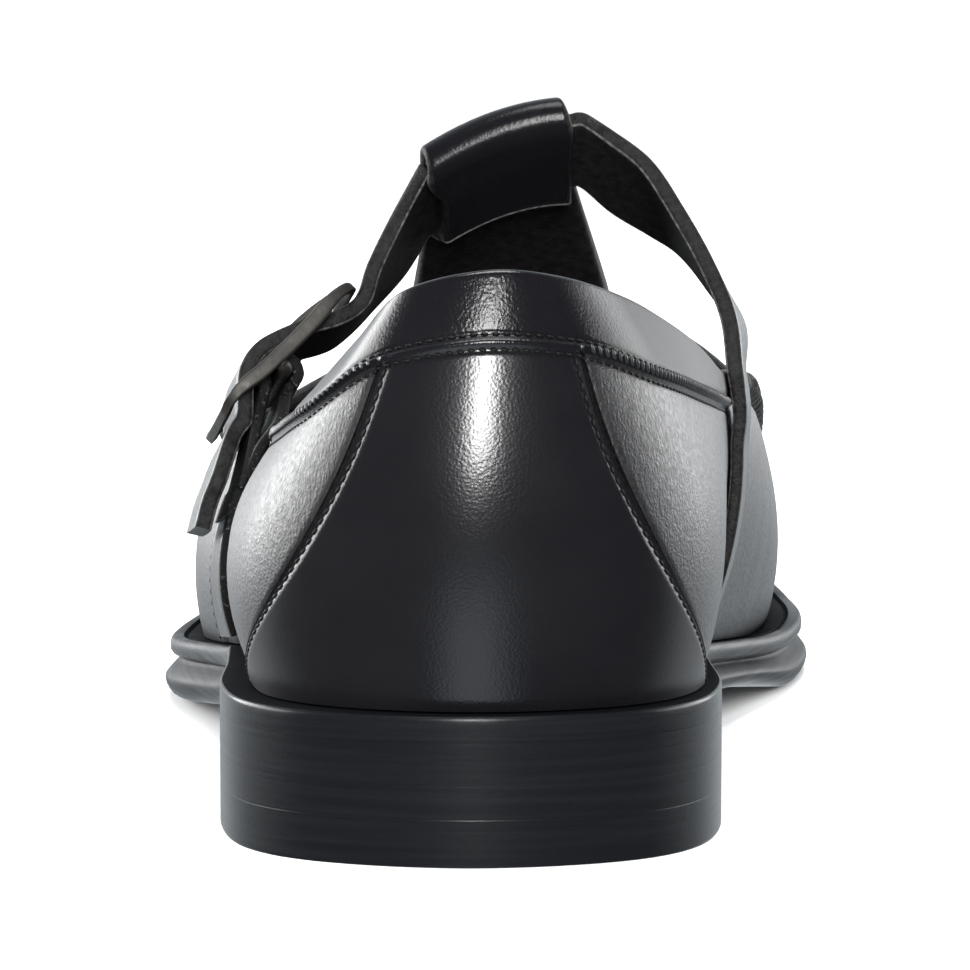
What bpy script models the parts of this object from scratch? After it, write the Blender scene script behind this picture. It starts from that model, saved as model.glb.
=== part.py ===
"""Fisherman sandal, left shoe: closed heel, T-bar with a folded loop, ankle strap and buckle.

The shoe is modelled in millimetres with its heel at y = 0 and its toe at +y. The medial side is +x,
the lateral side -x. An empty scales everything to metres and stands it on the middle of its base.
"""
from collections import namedtuple

import bmesh
import bpy
import numpy as np

MILLIMETRE = 0.001

# Driving dimensions in millimetres
SEAM_GAP = 0.3
WALL = 2.0
WELT_THICKNESS = 3.5
INSOLE_THICKNESS = 2.2
STRAP_THICKNESS = 2.6
STRAP_WIDTH = 18.0
CHAPE_THICKNESS = 1.8
CHAPE_WIDTH = 15.5
HEEL_BREAST_Y = 74.0
HEEL_BREAST_HOLLOW = 3.0
HEEL_TOP = 11.0
COUNTER_STEP = 0.9
BAND_STEP = 0.6
VAMP_STEP = 1.0
ROLLED_SEAM = 1.8
STRIP_STEP = 0.9
TBAR_STEP = 1.5
OVER_TBAR_STEP = 2.2
EDGE_RAMP = 0.7
GIRTH_LEVEL = 0.45
STRIP_BOW = 5.0
MEDIAL_ARCH = 2.4
MEDIAL_ARCH_X = 40.0
SHARP_ANGLE = 35.0

# Outline of the sole seen from above, a row for each station from heel back to toe tip
SoleRow = namedtuple("SoleRow", "y lateral medial")
SOLE_ROWS = [
    SoleRow(0.0, -2.0, -2.0),
    SoleRow(5.0, -21.5, 17.5),
    SoleRow(16.5, -33.0, 29.0),
    SoleRow(36.0, -37.6, 33.6),
    SoleRow(62.0, -38.0, 33.2),
    SoleRow(92.0, -39.5, 32.5),
    SoleRow(120.0, -43.8, 35.0),
    SoleRow(148.0, -50.0, 42.6),
    SoleRow(175.0, -52.8, 50.4),
    SoleRow(203.0, -50.2, 55.0),
    SoleRow(230.0, -45.6, 54.2),
    SoleRow(256.0, -37.0, 49.8),
    SoleRow(278.0, -24.0, 41.0),
    SoleRow(292.5, -8.0, 28.5),
    SoleRow(298.0, 10.5, 10.5),
]

# Heights along the sole: the ledge that the upper stands on, and the underside of the outsole
HeightRow = namedtuple("HeightRow", "y ledge underside")
HEIGHT_ROWS = [
    HeightRow(0.0, 20.7, 11.3),
    HeightRow(77.0, 20.3, 11.3),
    HeightRow(95.0, 18.2, 9.2),
    HeightRow(120.0, 15.4, 5.8),
    HeightRow(148.0, 12.6, 2.6),
    HeightRow(166.0, 11.0, 0.9),
    HeightRow(184.0, 10.2, 0.0),
    HeightRow(222.0, 10.2, 0.0),
    HeightRow(240.0, 11.0, 0.8),
    HeightRow(260.0, 12.8, 2.6),
    HeightRow(281.0, 15.6, 5.4),
    HeightRow(298.0, 18.6, 8.6),
]

# Sections of the upper's wall: at the feather line, at its girth and at its top edge
UpperRow = namedtuple(
    "UpperRow",
    "y feather_lat feather_med girth_y girth_lat girth_med top_y top_lat top_med rise_lat rise_med",
)
UPPER_ROWS = [
    UpperRow(4.0, -1.5, -1.5, 0.6, -1.5, -1.5, 7.0, 0.5, 0.5, 81.0, 81.0),
    UpperRow(8.5, -18.0, 15.5, 5.5, -19.5, 17.5, 9.8, -10.5, 10.0, 78.2, 80.0),
    UpperRow(19.0, -28.5, 26.0, 17.0, -31.0, 28.5, 21.0, -15.8, 18.2, 71.8, 76.8),
    UpperRow(36.0, -32.4, 30.5, 36.0, -35.6, 33.5, 40.0, -19.0, 24.6, 66.6, 72.4),
    UpperRow(62.0, -33.2, 30.6, 62.0, -37.4, 35.4, 63.0, -22.5, 30.5, 61.6, 67.2),
    UpperRow(92.0, -36.0, 30.4, 92.0, -38.0, 36.2, 92.0, -27.8, 35.6, 54.2, 61.0),
    UpperRow(120.0, -40.5, 33.0, 120.0, -42.0, 39.2, 120.0, -33.2, 38.0, 48.8, 59.0),
    UpperRow(150.0, -45.2, 40.4, 150.0, -46.4, 45.0, 149.0, -38.6, 41.6, 48.4, 55.6),
    UpperRow(178.0, -46.4, 46.2, 178.0, -47.2, 48.8, 177.0, -41.0, 43.6, 45.4, 49.4),
    UpperRow(205.0, -44.4, 48.6, 205.0, -45.6, 49.8, 203.0, -39.0, 44.4, 41.6, 42.8),
    UpperRow(230.0, -39.6, 48.0, 230.5, -41.0, 49.4, 227.5, -34.6, 43.4, 38.6, 39.0),
    UpperRow(253.0, -31.4, 43.8, 254.0, -32.6, 44.8, 248.0, -26.4, 38.4, 36.4, 36.6),
    UpperRow(272.0, -19.0, 35.4, 273.5, -20.0, 36.2, 264.5, -15.0, 30.4, 35.2, 35.2),
    UpperRow(285.0, -5.0, 24.5, 287.0, -5.6, 25.0, 275.5, -2.6, 21.6, 34.6, 34.6),
    UpperRow(290.0, 10.2, 10.2, 292.4, 10.2, 10.2, 279.5, 10.2, 10.2, 34.4, 34.4),
]
LAST_ROW = len(UPPER_ROWS) - 1

# Ridge of the forefoot, above the line between the two rolled seams
RidgeRow = namedtuple("RidgeRow", "y height x")
RIDGE_ROWS = [
    RidgeRow(150.0, 73.0, 8.0),
    RidgeRow(165.0, 66.5, 8.5),
    RidgeRow(178.0, 61.5, 9.0),
    RidgeRow(204.0, 54.0, 9.0),
    RidgeRow(230.0, 48.0, 9.5),
    RidgeRow(248.0, 44.4, 9.8),
    RidgeRow(264.5, 40.6, 10.0),
    RidgeRow(275.5, 37.2, 10.2),
    RidgeRow(279.5, 34.4, 10.2),
]

# Places along the upper, counted in rows of UPPER_ROWS
QUARTER_FRONT = 4.9
VAMP_EDGE = 6.0
STRIPS = [(7.54, 8.11), (8.44, 9.04), (9.33, 9.89)]
STRIP_OVER_TBAR = 1
TOE_CAP = 10.2


def clear_scene():
    """Take every object out of the scene."""
    for obj in list(bpy.data.objects):
        bpy.data.objects.remove(obj, do_unlink=True)


def through(xs, ys, x):
    """Smooth value at x through the points (xs, ys), level wherever two neighbours are equal."""
    xs = np.asarray(xs, float)
    ys = np.asarray(ys, float)
    step = np.diff(xs)
    slope = np.diff(ys) / step
    tangent = np.empty_like(ys)
    tangent[0] = slope[0]
    tangent[-1] = slope[-1]
    for i in range(1, len(xs) - 1):
        before, after = slope[i - 1], slope[i]
        tangent[i] = 0.0 if before * after <= 0.0 else 2.0 * before * after / (before + after)
    i = int(np.clip(np.searchsorted(xs, x) - 1, 0, len(step) - 1))
    t = float(np.clip((x - xs[i]) / step[i], 0.0, 1.0))
    return hermite(ys[i], ys[i + 1], tangent[i] * step[i], tangent[i + 1] * step[i], t)


def hermite(start, end, leave, arrive, t):
    """Cubic between two values with given end slopes."""
    return (
        (2 * t**3 - 3 * t**2 + 1) * start
        + (t**3 - 2 * t**2 + t) * leave
        + (3 * t**2 - 2 * t**3) * end
        + (t**3 - t**2) * arrive
    )


def round_loop(points, q):
    """Point at place q on the closed smooth curve through all points."""
    count = len(points)
    i = int(np.floor(q))
    a, b, c, d = (points[(i + k) % count] for k in (-1, 0, 1, 2))
    return hermite(b, c, (c - a) / 2.0, (d - b) / 2.0, q - i)


def along(points, q):
    """Point at place q on the open smooth curve through all points."""
    last = len(points) - 1
    i = int(np.clip(np.floor(q), 0, last - 1))
    b, c = points[i], points[i + 1]
    a = points[i - 1] if i > 0 else 2 * b - c
    d = points[i + 2] if i + 2 <= last else 2 * c - b
    return hermite(b, c, (c - a) / 2.0, (d - b) / 2.0, q - i)


def loop_of(rows, y, lateral, medial):
    """Plan points of a table's two sides as one loop: up the medial side and back by the lateral."""
    up = [np.array([getattr(row, medial), getattr(row, y)]) for row in rows]
    down = [np.array([getattr(row, lateral), getattr(row, y)]) for row in rows[-2:0:-1]]
    return up + down


SOLE_LOOP = loop_of(SOLE_ROWS, "y", "lateral", "medial")
FEATHER_LOOP = loop_of(UPPER_ROWS, "y", "feather_lat", "feather_med")
GIRTH_LOOP = loop_of(UPPER_ROWS, "girth_y", "girth_lat", "girth_med")
TOP_LOOP = loop_of(UPPER_ROWS, "top_y", "top_lat", "top_med")
RISE_LOOP = [row.rise_med for row in UPPER_ROWS] + [row.rise_lat for row in UPPER_ROWS[-2:0:-1]]
TURN = 2 * LAST_ROW


def ledge_z(y):
    """Height of the welt's top face."""
    return through([row.y for row in HEIGHT_ROWS], [row.ledge for row in HEIGHT_ROWS], y)


def underside_z(x, y):
    """Height of the outsole's lower face, which arches higher on the medial side."""
    low = through([row.y for row in HEIGHT_ROWS], [row.underside for row in HEIGHT_ROWS], y)
    arch = through([0.0, 77.0, 152.0, 190.0, 298.0], [0.0, 0.0, 1.0, 0.0, 0.0], y)
    return low + MEDIAL_ARCH * arch * np.clip(x / MEDIAL_ARCH_X, 0.0, 1.0)


def outward(loop, q):
    """Unit vector in plan pointing out of a loop at place q."""
    ahead = round_loop(loop, q + 0.02) - round_loop(loop, q - 0.02)
    normal = np.array([ahead[1], -ahead[0]])
    return normal / np.linalg.norm(normal)


def wall_point(q, level):
    """Point of the upper's wall at place q round the loop, level 0 at the feather and 1 at the top."""
    feather = round_loop(FEATHER_LOOP, q)
    girth = round_loop(GIRTH_LOOP, q)
    top = round_loop(TOP_LOOP, q)
    low = ledge_z(feather[1]) + SEAM_GAP
    g = GIRTH_LEVEL
    from_feather = (level - g) * (level - 1.0) / g
    from_girth = level * (level - 1.0) / (g * (g - 1.0))
    from_top = level * (level - g) / (1.0 - g)
    plan = from_feather * feather + from_girth * girth + from_top * top
    return np.array([plan[0], plan[1], low + (round_loop(RISE_LOOP, q) - low) * level])


def place(r, side):
    """Place on the loop of row r on the medial (+1) or the lateral (-1) side."""
    return r if side > 0 else (TURN - r) % TURN


def make_piece(name, points, faces, material, parent):
    """One closed piece with its faces turned outwards and its round parts shaded smooth."""
    mesh = bpy.data.meshes.new(name)
    mesh.from_pydata([tuple(map(float, p)) for p in points], [], faces)
    shape = bmesh.new()
    shape.from_mesh(mesh)
    bmesh.ops.recalc_face_normals(shape, faces=shape.faces)
    shape.to_mesh(mesh)
    shape.free()
    mesh.shade_smooth()
    mesh.set_sharp_from_angle(angle=np.radians(SHARP_ANGLE))
    mesh.materials.append(material)
    piece = bpy.data.objects.new(name, mesh)
    piece.parent = parent
    bpy.context.scene.collection.objects.link(piece)
    return piece


def finish(name, colour, roughness, metallic=0.0):
    """Principled material of one piece."""
    material = bpy.data.materials.new(name)
    material.use_nodes = True
    shader = material.node_tree.nodes["Principled BSDF"]
    shader.inputs["Base Color"].default_value = (*colour, 1.0)
    shader.inputs["Roughness"].default_value = roughness
    shader.inputs["Metallic"].default_value = metallic
    return material


def stacked_rings(rings, cap_rows):
    """Faces of a solid with equal closed rings on top of each other and ladder-like end caps."""
    count = len(rings[0])
    points = [p for ring in rings for p in ring]
    faces = []
    for level in range(len(rings) - 1):
        for i in range(count):
            j = (i + 1) % count
            low, high = level * count, (level + 1) * count
            faces.append((low + i, low + j, high + j, high + i))
    for start in (0, (len(rings) - 1) * count):
        for i in range(cap_rows):
            a, b = start + i, start + i + 1
            c, d = start + (count - i - 1) % count, start + (count - i) % count
            faces.append(tuple(dict.fromkeys((a, b, c, d))))
    return points, faces


SOLE_STEPS = 46
SOLE_PLACES = np.linspace(0.0, TURN, 2 * SOLE_STEPS, endpoint=False)


def forefoot_share(y):
    """0 on the heel, where every layer is flush, rising to 1 on the forefoot's stepped edge."""
    return through([0.0, 70.0, 118.0, 298.0], [0.0, 0.0, 1.0, 1.0], y)


def build_outsole(material, parent):
    """Outsole: rounded lower edge, flared rib, and a recess under the welt."""
    bevel, rib, neck, recess = 1.3, 1.0, -0.3, -1.0
    bevel_share, rib_share, neck_share = 0.22, 0.45, 0.78

    def ring(share, offset, fixed=0.0):
        points = []
        for q in SOLE_PLACES:
            plan = round_loop(SOLE_LOOP, q)
            low, high = underside_z(*plan), ledge_z(plan[1]) - WELT_THICKNESS - SEAM_GAP
            shift = fixed + offset * forefoot_share(plan[1])
            edge = plan + shift * outward(SOLE_LOOP, q)
            points.append(np.array([edge[0], edge[1], low + (high - low) * share]))
        return points

    rings = [
        ring(0.0, 0.0, -bevel),
        ring(bevel_share, 0.5 * rib),
        ring(rib_share, rib),
        ring(neck_share, neck),
        ring(1.0, recess),
    ]
    points, faces = stacked_rings(rings, SOLE_STEPS)
    return make_piece("outsole", points, faces, material, parent)


def build_welt(material, parent):
    """Welt: a strip with a rounded edge, a groove along its top, and its inner side under the upper."""
    under_upper, groove_out, groove_in, groove_depth, least_groove = 5.0, 0.36, 0.5, 0.6, 0.05
    recess, round_edge, lower_edge = -1.0, 0.9, 0.8
    points, faces = [], []
    for q in SOLE_PLACES:
        edge, normal = round_loop(SOLE_LOOP, q), outward(SOLE_LOOP, q)
        feather = round_loop(FEATHER_LOOP, q)
        inner = feather - under_upper * outward(FEATHER_LOOP, q)
        share = forefoot_share(edge[1])

        def at(plan, drop):
            return np.array([plan[0], plan[1], ledge_z(plan[1]) - drop])

        points += [
            at(edge + recess * share * normal, WELT_THICKNESS),
            at(edge, WELT_THICKNESS - lower_edge),
            at(edge, round_edge),
            at(edge - round_edge * normal, 0.0),
            at(edge + (feather - edge) * groove_out, 0.0),
            at(edge + (feather - edge) * (groove_out + groove_in) / 2.0, groove_depth * share + least_groove),
            at(edge + (feather - edge) * groove_in, 0.0),
            at(inner, 0.0),
            at(inner, WELT_THICKNESS),
        ]
    size = len(points) // len(SOLE_PLACES)
    for i in range(len(SOLE_PLACES)):
        j = (i + 1) % len(SOLE_PLACES)
        for k in range(size):
            m = (k + 1) % size
            faces.append((i * size + k, i * size + m, j * size + m, j * size + k))
    return make_piece("welt", points, faces, material, parent)


def build_heel(material, parent):
    """Heel block: the sole's outline behind a hollowed breast, with a small round at the floor."""
    bevel, taper = 0.5, 0.3
    search = np.arange(3.0, 6.0, 0.01)
    breast_place = next(q for q in search if round_loop(SOLE_LOOP, q)[1] > HEEL_BREAST_Y)
    places = np.linspace(-breast_place, breast_place, 45)
    breast_steps = np.linspace(1.0, -1.0, 13)[1:-1]

    def ring(height, inset):
        outline = [round_loop(SOLE_LOOP, q) - inset * outward(SOLE_LOOP, q) for q in places]
        medial, lateral = outline[-1], outline[0]
        for f in breast_steps:
            across = lateral + (medial - lateral) * (f + 1.0) / 2.0
            across[1] -= HEEL_BREAST_HOLLOW * (1.0 - f * f)
            outline.append(across)
        return [np.array([p[0], p[1], height]) for p in outline]

    rings = [ring(0.0, bevel + taper), ring(bevel, taper), ring(HEEL_TOP, 0.0)]
    count = len(rings[0])
    points = [p for level in rings for p in level]
    faces = []
    for level in range(len(rings) - 1):
        for i in range(count):
            j = (i + 1) % count
            low, high = level * count, (level + 1) * count
            faces.append((low + i, low + j, high + j, high + i))
    faces.append(tuple(range(count)))
    faces.append(tuple(range((len(rings) - 1) * count, len(rings) * count)))
    return make_piece("heel_block", points, faces, material, parent)


def build_insole(material, parent):
    """Insole: a thin board just inside the upper's wall."""
    inset = WALL + 2.0 * SEAM_GAP

    def ring(height):
        points = []
        for q in SOLE_PLACES:
            plan = round_loop(FEATHER_LOOP, q) - inset * outward(FEATHER_LOOP, q)
            points.append(np.array([plan[0], plan[1], ledge_z(plan[1]) + height]))
        return points

    rings = [ring(SEAM_GAP), ring(SEAM_GAP + INSOLE_THICKNESS)]
    points, faces = stacked_rings(rings, SOLE_STEPS)
    return make_piece("insole", points, faces, material, parent)


class Wall:
    """Points of a wall's outer face with their lift above it, and the quads that are kept."""

    def __init__(self):
        self.points, self.lifts, self.faces, self.footing = [], [], [], []

    def add(self, point, lift=0.0, on_ledge=False):
        """Keep a point and give its number. A point on the ledge has its wall built out level."""
        self.points.append(np.asarray(point, float))
        self.lifts.append(lift)
        self.footing.append(on_ledge)
        return len(self.points) - 1

    def solid(self, thickness):
        """Points and faces of the closed wall: outer face, inner face and every cut edge."""
        points = np.array(self.points)
        normals = np.zeros_like(points)
        for face in self.faces:
            corner = points[list(face)]
            for k in range(1, len(face) - 1):
                normals[list(face)] += np.cross(corner[k] - corner[0], corner[k + 1] - corner[0])
        normals[np.array(self.footing), 2] = 0.0
        normals /= np.linalg.norm(normals, axis=1, keepdims=True)
        outer = points + normals * np.array(self.lifts)[:, None]
        inner = points - normals * thickness
        count = len(points)
        edges = {}
        for face in self.faces:
            for a, b in zip(face, face[1:] + face[:1]):
                edges[(a, b)] = edges.get((a, b), 0) + 1
        rims = [(a, b) for (a, b) in edges if (b, a) not in edges]
        faces = list(self.faces)
        faces += [tuple(count + i for i in reversed(face)) for face in self.faces]
        faces += [(b, a, count + a, count + b) for a, b in rims]
        return np.vstack([outer, inner]), faces


def counter_seam(level):
    """Row at which the heel counter ends: far forward at the feather, near the heel at the collar."""
    return 0.93 + 2.07 * max(0.0, 1.0 - level / 0.8) ** 2.2


def column_rows(level):
    """Rows of the wall's columns on one side at a level, from the heel back to the toe tip."""
    seam = counter_seam(level)
    ramp = 0.045
    counter = [seam * f for f in (0.0, 0.2, 0.4, 0.6, 0.8, 1.0)]
    start = seam + ramp
    quarter = [start + (QUARTER_FRONT - start) * f for f in (0.0, 0.16, 0.33, 0.5, 0.67, 0.84, 1.0)]
    waist = [5.3, 5.65, VAMP_EDGE - 0.03, VAMP_EDGE, 6.4, 6.8, 7.2]
    return counter + quarter + waist + front_rows()


def front_rows():
    """Rows at the edges and the middle of each strip, and on over the toe."""
    rows = []
    for start, end in STRIPS:
        rows += [start, (start + end) / 2.0, end]
    return rows + [TOE_CAP, 10.7, 11.2, 11.7, 12.2, 12.7, 13.2, 13.6, float(LAST_ROW)]


COUNTER_COLUMNS = 6
QUARTER_COLUMNS = 7
STRAP_COLUMNS = 3
VAMP_COLUMN = COUNTER_COLUMNS + QUARTER_COLUMNS + STRAP_COLUMNS
FRONT_COLUMN = VAMP_COLUMN + 4


# Height of the collar band, which goes on as the rolled seam on the forefoot
BandRow = namedtuple("BandRow", "row height")
BAND_ROWS = [
    BandRow(0.0, 9.8),
    BandRow(1.0, 10.1),
    BandRow(2.0, 11.2),
    BandRow(3.0, 10.3),
    BandRow(4.0, 8.3),
    BandRow(5.0, 5.2),
    BandRow(7.0, 4.0),
    BandRow(LAST_ROW, 3.6),
]


def band_height(r):
    """Height of the collar band at a row."""
    return through([float(row.row) for row in BAND_ROWS], [row.height for row in BAND_ROWS], r)


def wall_levels(r, side):
    """Levels of one column: the wall, the step below the band, and the band."""
    q = place(r, side)
    height = round_loop(RISE_LOOP, q) - ledge_z(round_loop(FEATHER_LOOP, q)[1])
    seam = 1.0 - band_height(r) / height
    step = seam + EDGE_RAMP / height
    below = [seam * f for f in (0.0, 0.14, 0.3, 0.47, 0.65, 0.83, 1.0)]
    return below + [step, (1.0 + step) / 2.0, 1.0]


WALL_LEVELS = 10
BAND_LEVEL = 7


def wall_lift(column, level):
    """Step of the wall at a column and a level: counter, band, vamp overlay and rolled seam."""
    on_vamp = column >= VAMP_COLUMN
    if level >= BAND_LEVEL:
        crown = 1.0 if level == WALL_LEVELS - 2 else 0.8
        return ROLLED_SEAM * crown if on_vamp else BAND_STEP
    if column < COUNTER_COLUMNS:
        return COUNTER_STEP
    return VAMP_STEP if on_vamp else 0.0


def add_wall(wall):
    """The wall all round the foot. Gives the numbers of its points by side, column and level."""
    numbers = {}
    columns = len(column_rows(0.0))
    for side in (1, -1):
        for column in range(columns):
            for k in range(WALL_LEVELS):
                if side < 0 and column in (0, columns - 1):
                    numbers[side, column, k] = numbers[1, column, k]
                    continue
                fraction = wall_levels(column_rows(0.5)[column], side)[k]
                r = column_rows(fraction)[column]
                level = wall_levels(r, side)[k]
                point = wall_point(place(r, side), level)
                numbers[side, column, k] = wall.add(point, wall_lift(column, k), k == 0)
    for side in (1, -1):
        for column in range(columns - 1):
            for k in range(WALL_LEVELS - 1):
                quad = (
                    numbers[side, column, k],
                    numbers[side, column + 1, k],
                    numbers[side, column + 1, k + 1],
                    numbers[side, column, k + 1],
                )
                wall.faces.append(quad if side > 0 else quad[::-1])
    return numbers


def across_places(y):
    """Places across the forefoot from lateral to medial: strips, T-bar with its two edges, strips."""
    left = through([160.0, 240.0], [0.33, 0.40], y)
    right = through([160.0, 240.0], [0.74, 0.68], y)
    ramp = 0.01
    sides = (0.0, 0.34, 0.67)
    bar = [left + (right - left) * f for f in (0.0, 0.25, 0.5, 0.75, 1.0)]
    lateral = [left * f for f in sides] + [left - ramp]
    medial = [right + ramp] + [1.0 - (1.0 - right) * f for f in sides[::-1]]
    return lateral + bar + medial


BAR_FIRST, BAR_LAST, ACROSS_LAST = 4, 8, 12


def forefoot_point(r, w):
    """Point over the forefoot at row r, from the lateral seam (w = 0) to the medial one (w = 1)."""
    lateral = wall_point(place(r, -1), 1.0)
    medial = wall_point(place(r, 1), 1.0)
    chord = lateral + (medial - lateral) * w
    ys = [row.y for row in RIDGE_ROWS]
    ridge_z = through(ys, [row.height for row in RIDGE_ROWS], chord[1])
    ridge_x = through(ys, [row.x for row in RIDGE_ROWS], chord[1])
    peak = np.clip((ridge_x - lateral[0]) / (medial[0] - lateral[0]), 0.2, 0.8)
    skewed = w ** (np.log(0.5) / np.log(peak))
    crown = 1.0 - abs(2.0 * skewed - 1.0) ** 2.2
    fade = min(1.0, (LAST_ROW - r) / 3.0)
    lift = ridge_z - (lateral[2] + (medial[2] - lateral[2]) * peak)
    return chord + np.array([0.0, -STRIP_BOW * fade * 4.0 * w * (1.0 - w), lift * crown])


def strip_number(r):
    """Number of the strip that row r lies on, or None in a gap and on the toe."""
    for number, (start, end) in enumerate(STRIPS):
        if start - 0.001 <= r <= end + 0.001:
            return number
    return None


def forefoot_lift(r, i):
    """Step of the forefoot: strips, the T-bar over them, and one strip over the T-bar."""
    if r >= TOE_CAP + 0.3:
        return VAMP_STEP
    if BAR_FIRST <= i <= BAR_LAST:
        return OVER_TBAR_STEP if strip_number(r) == STRIP_OVER_TBAR else TBAR_STEP
    return STRIP_STEP


def add_forefoot(wall, numbers):
    """Strips, T-bar and toe between the two rolled seams. Gives the T-bar's points at the throat."""
    rows = front_rows()
    grid = []
    for n, r in enumerate(rows[:-1]):
        column = FRONT_COLUMN + n
        places = across_places(wall_point(place(r, 1), 1.0)[1])
        line = []
        for i, w in enumerate(places):
            if i in (0, ACROSS_LAST):
                line.append(numbers[-1 if i == 0 else 1, column, WALL_LEVELS - 1])
            else:
                line.append(wall.add(forefoot_point(r, w), forefoot_lift(r, i)))
        grid.append(line)
    for n in range(len(grid) - 1):
        middle = (rows[n] + rows[n + 1]) / 2.0
        closed = strip_number(middle) is not None or middle > TOE_CAP
        for i in range(ACROSS_LAST):
            if closed or BAR_FIRST <= i < BAR_LAST:
                wall.faces.append((grid[n][i], grid[n][i + 1], grid[n + 1][i + 1], grid[n + 1][i]))
    tip = numbers[1, FRONT_COLUMN + len(rows) - 1, WALL_LEVELS - 1]
    for i in range(ACROSS_LAST):
        wall.faces.append((grid[-1][i], grid[-1][i + 1], tip))
    return grid[0][BAR_FIRST:BAR_LAST + 1], grid[2][BAR_FIRST:BAR_LAST + 1]


# Instep under the T-bar's loop: a slope that rises towards the ankle and towards the medial side
INSTEP_HEIGHT = 98.3
INSTEP_X = 1.4
INSTEP_Y = 111.0
SIDE_SLOPE = 0.36
INSTEP_SLOPE = -0.72
INSTEP_CROWN = 1.6
LOOP_LATERAL = -10.4
LOOP_MEDIAL = 11.6
LOOP_TOP_Y = 112.0
LOOP_INNER = 17.0
TBAR_FLARE = 3.0
INSTEP_NORMAL = np.array([-SIDE_SLOPE, -INSTEP_SLOPE, 1.0])
INSTEP_NORMAL /= np.linalg.norm(INSTEP_NORMAL)
INSTEP_UP = np.array([0.0, -1.0, -INSTEP_SLOPE])
INSTEP_UP /= np.linalg.norm(INSTEP_UP)


def instep_point(x, y):
    """Point of the T-bar's outer face near its loop."""
    f = 2.0 * (x - LOOP_LATERAL) / (LOOP_MEDIAL - LOOP_LATERAL) - 1.0
    crown = INSTEP_CROWN * (1.0 - f * f)
    z = INSTEP_HEIGHT + SIDE_SLOPE * (x - INSTEP_X) + INSTEP_SLOPE * (y - INSTEP_Y) + crown
    return np.array([x, y, z])


def add_tbar(wall, throat, ahead):
    """T-bar from the throat up to its loop, folded over the ankle strap and back under it."""
    flare_y, shoulder_y = 131.0, 121.0
    radius = (STRAP_THICKNESS + 2.0 * SEAM_GAP) / 2.0 + WALL
    lines = [throat]
    columns = []
    for i, number in enumerate(throat):
        f = i / (len(throat) - 1)
        x_loop = LOOP_LATERAL + (LOOP_MEDIAL - LOOP_LATERAL) * f
        x_flare = x_loop + TBAR_FLARE * f * f
        free = [wall.points[ahead[i]], wall.points[number]]
        free += [instep_point(x_flare, flare_y), instep_point(x_loop, shoulder_y)]
        rise = [along(free, 1.0 + t) for t in (0.25, 0.5, 0.75)]
        rise += [free[2], free[3], instep_point(x_loop, LOOP_TOP_Y)]
        top = rise[-1]
        for angle in np.radians([36.0, 72.0, 108.0, 144.0, 180.0]):
            turn = np.sin(angle) * INSTEP_UP + (np.cos(angle) - 1.0) * INSTEP_NORMAL
            rise.append(top + radius * turn)
        for share in (0.33, 0.67, 1.0):
            rise.append(top - 2.0 * radius * INSTEP_NORMAL - LOOP_INNER * share * INSTEP_UP)
        columns.append(rise)
    for k in range(len(columns[0])):
        lines.append([wall.add(column[k], TBAR_STEP * max(0.0, 1.0 - k / 3.0)) for column in columns])
    for k in range(len(lines) - 1):
        for i in range(len(throat) - 1):
            wall.faces.append((lines[k][i], lines[k + 1][i], lines[k + 1][i + 1], lines[k][i + 1]))


def build_upper(material, parent):
    """Upper: one hollow wall with its overlays as steps, its gaps cut, and the T-bar's loop."""
    wall = Wall()
    numbers = add_wall(wall)
    throat, ahead = add_forefoot(wall, numbers)
    add_tbar(wall, throat, ahead)
    points, faces = wall.solid(WALL)
    return make_piece("upper", points, faces, material, parent)


def wall_normal(q, level):
    """Unit vector out of the wall."""
    round_way = wall_point(q + 0.02, level) - wall_point(q - 0.02, level)
    up = wall_point(q, level + 0.02) - wall_point(q, level - 0.02)
    normal = np.cross(round_way, up)
    return normal / np.linalg.norm(normal)


def on_wall(side, level, offset, rear=5.06, front=5.68):
    """Rear, middle and front point of a strap's inner face that lies on the wall."""
    row = []
    for r in (rear, (rear + front) / 2.0, front):
        q = place(r, side)
        row.append(wall_point(q, level) + offset * wall_normal(q, level))
    return np.array(row)


def strap_row(rear, front):
    """Rear, middle and front point of a strap that lies free."""
    rear, front = np.array(rear), np.array(front)
    return np.array([rear, (rear + front) / 2.0, front])


def build_ribbon(name, rows, side, thickness, steps, material, parent):
    """Strap through rows of its inner face, starting up one side, with rounded edges and square ends."""
    edge = 0.5
    places = np.linspace(0.0, len(rows) - 1.0, steps * (len(rows) - 1) + 1)
    lines = [along(rows, q) for q in places]
    points, faces = [], []
    for i, (rear, middle, front) in enumerate(lines):
        ahead = lines[min(i + 1, len(lines) - 1)][1] - lines[max(i - 1, 0)][1]
        wide = (front - rear) / np.linalg.norm(front - rear)
        normal = side * np.cross(wide, ahead)
        lift = thickness * normal / np.linalg.norm(normal)
        points += [
            rear + edge * wide,
            middle,
            front - edge * wide,
            front + lift / 2.0,
            front - edge * wide + lift,
            middle + lift,
            rear + edge * wide + lift,
            rear + lift / 2.0,
        ]
    size = len(points) // len(lines)
    for i in range(len(lines) - 1):
        for k in range(size):
            m = (k + 1) % size
            faces.append((i * size + k, i * size + m, (i + 1) * size + m, (i + 1) * size + k))
    for start in (0, (len(lines) - 1) * size):
        faces += [(start, start + 1, start + 5, start + 6), (start + 1, start + 2, start + 4, start + 5)]
        faces += [(start, start + 6, start + 7), (start + 2, start + 3, start + 4)]
    return make_piece(name, points, faces, material, parent)


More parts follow.
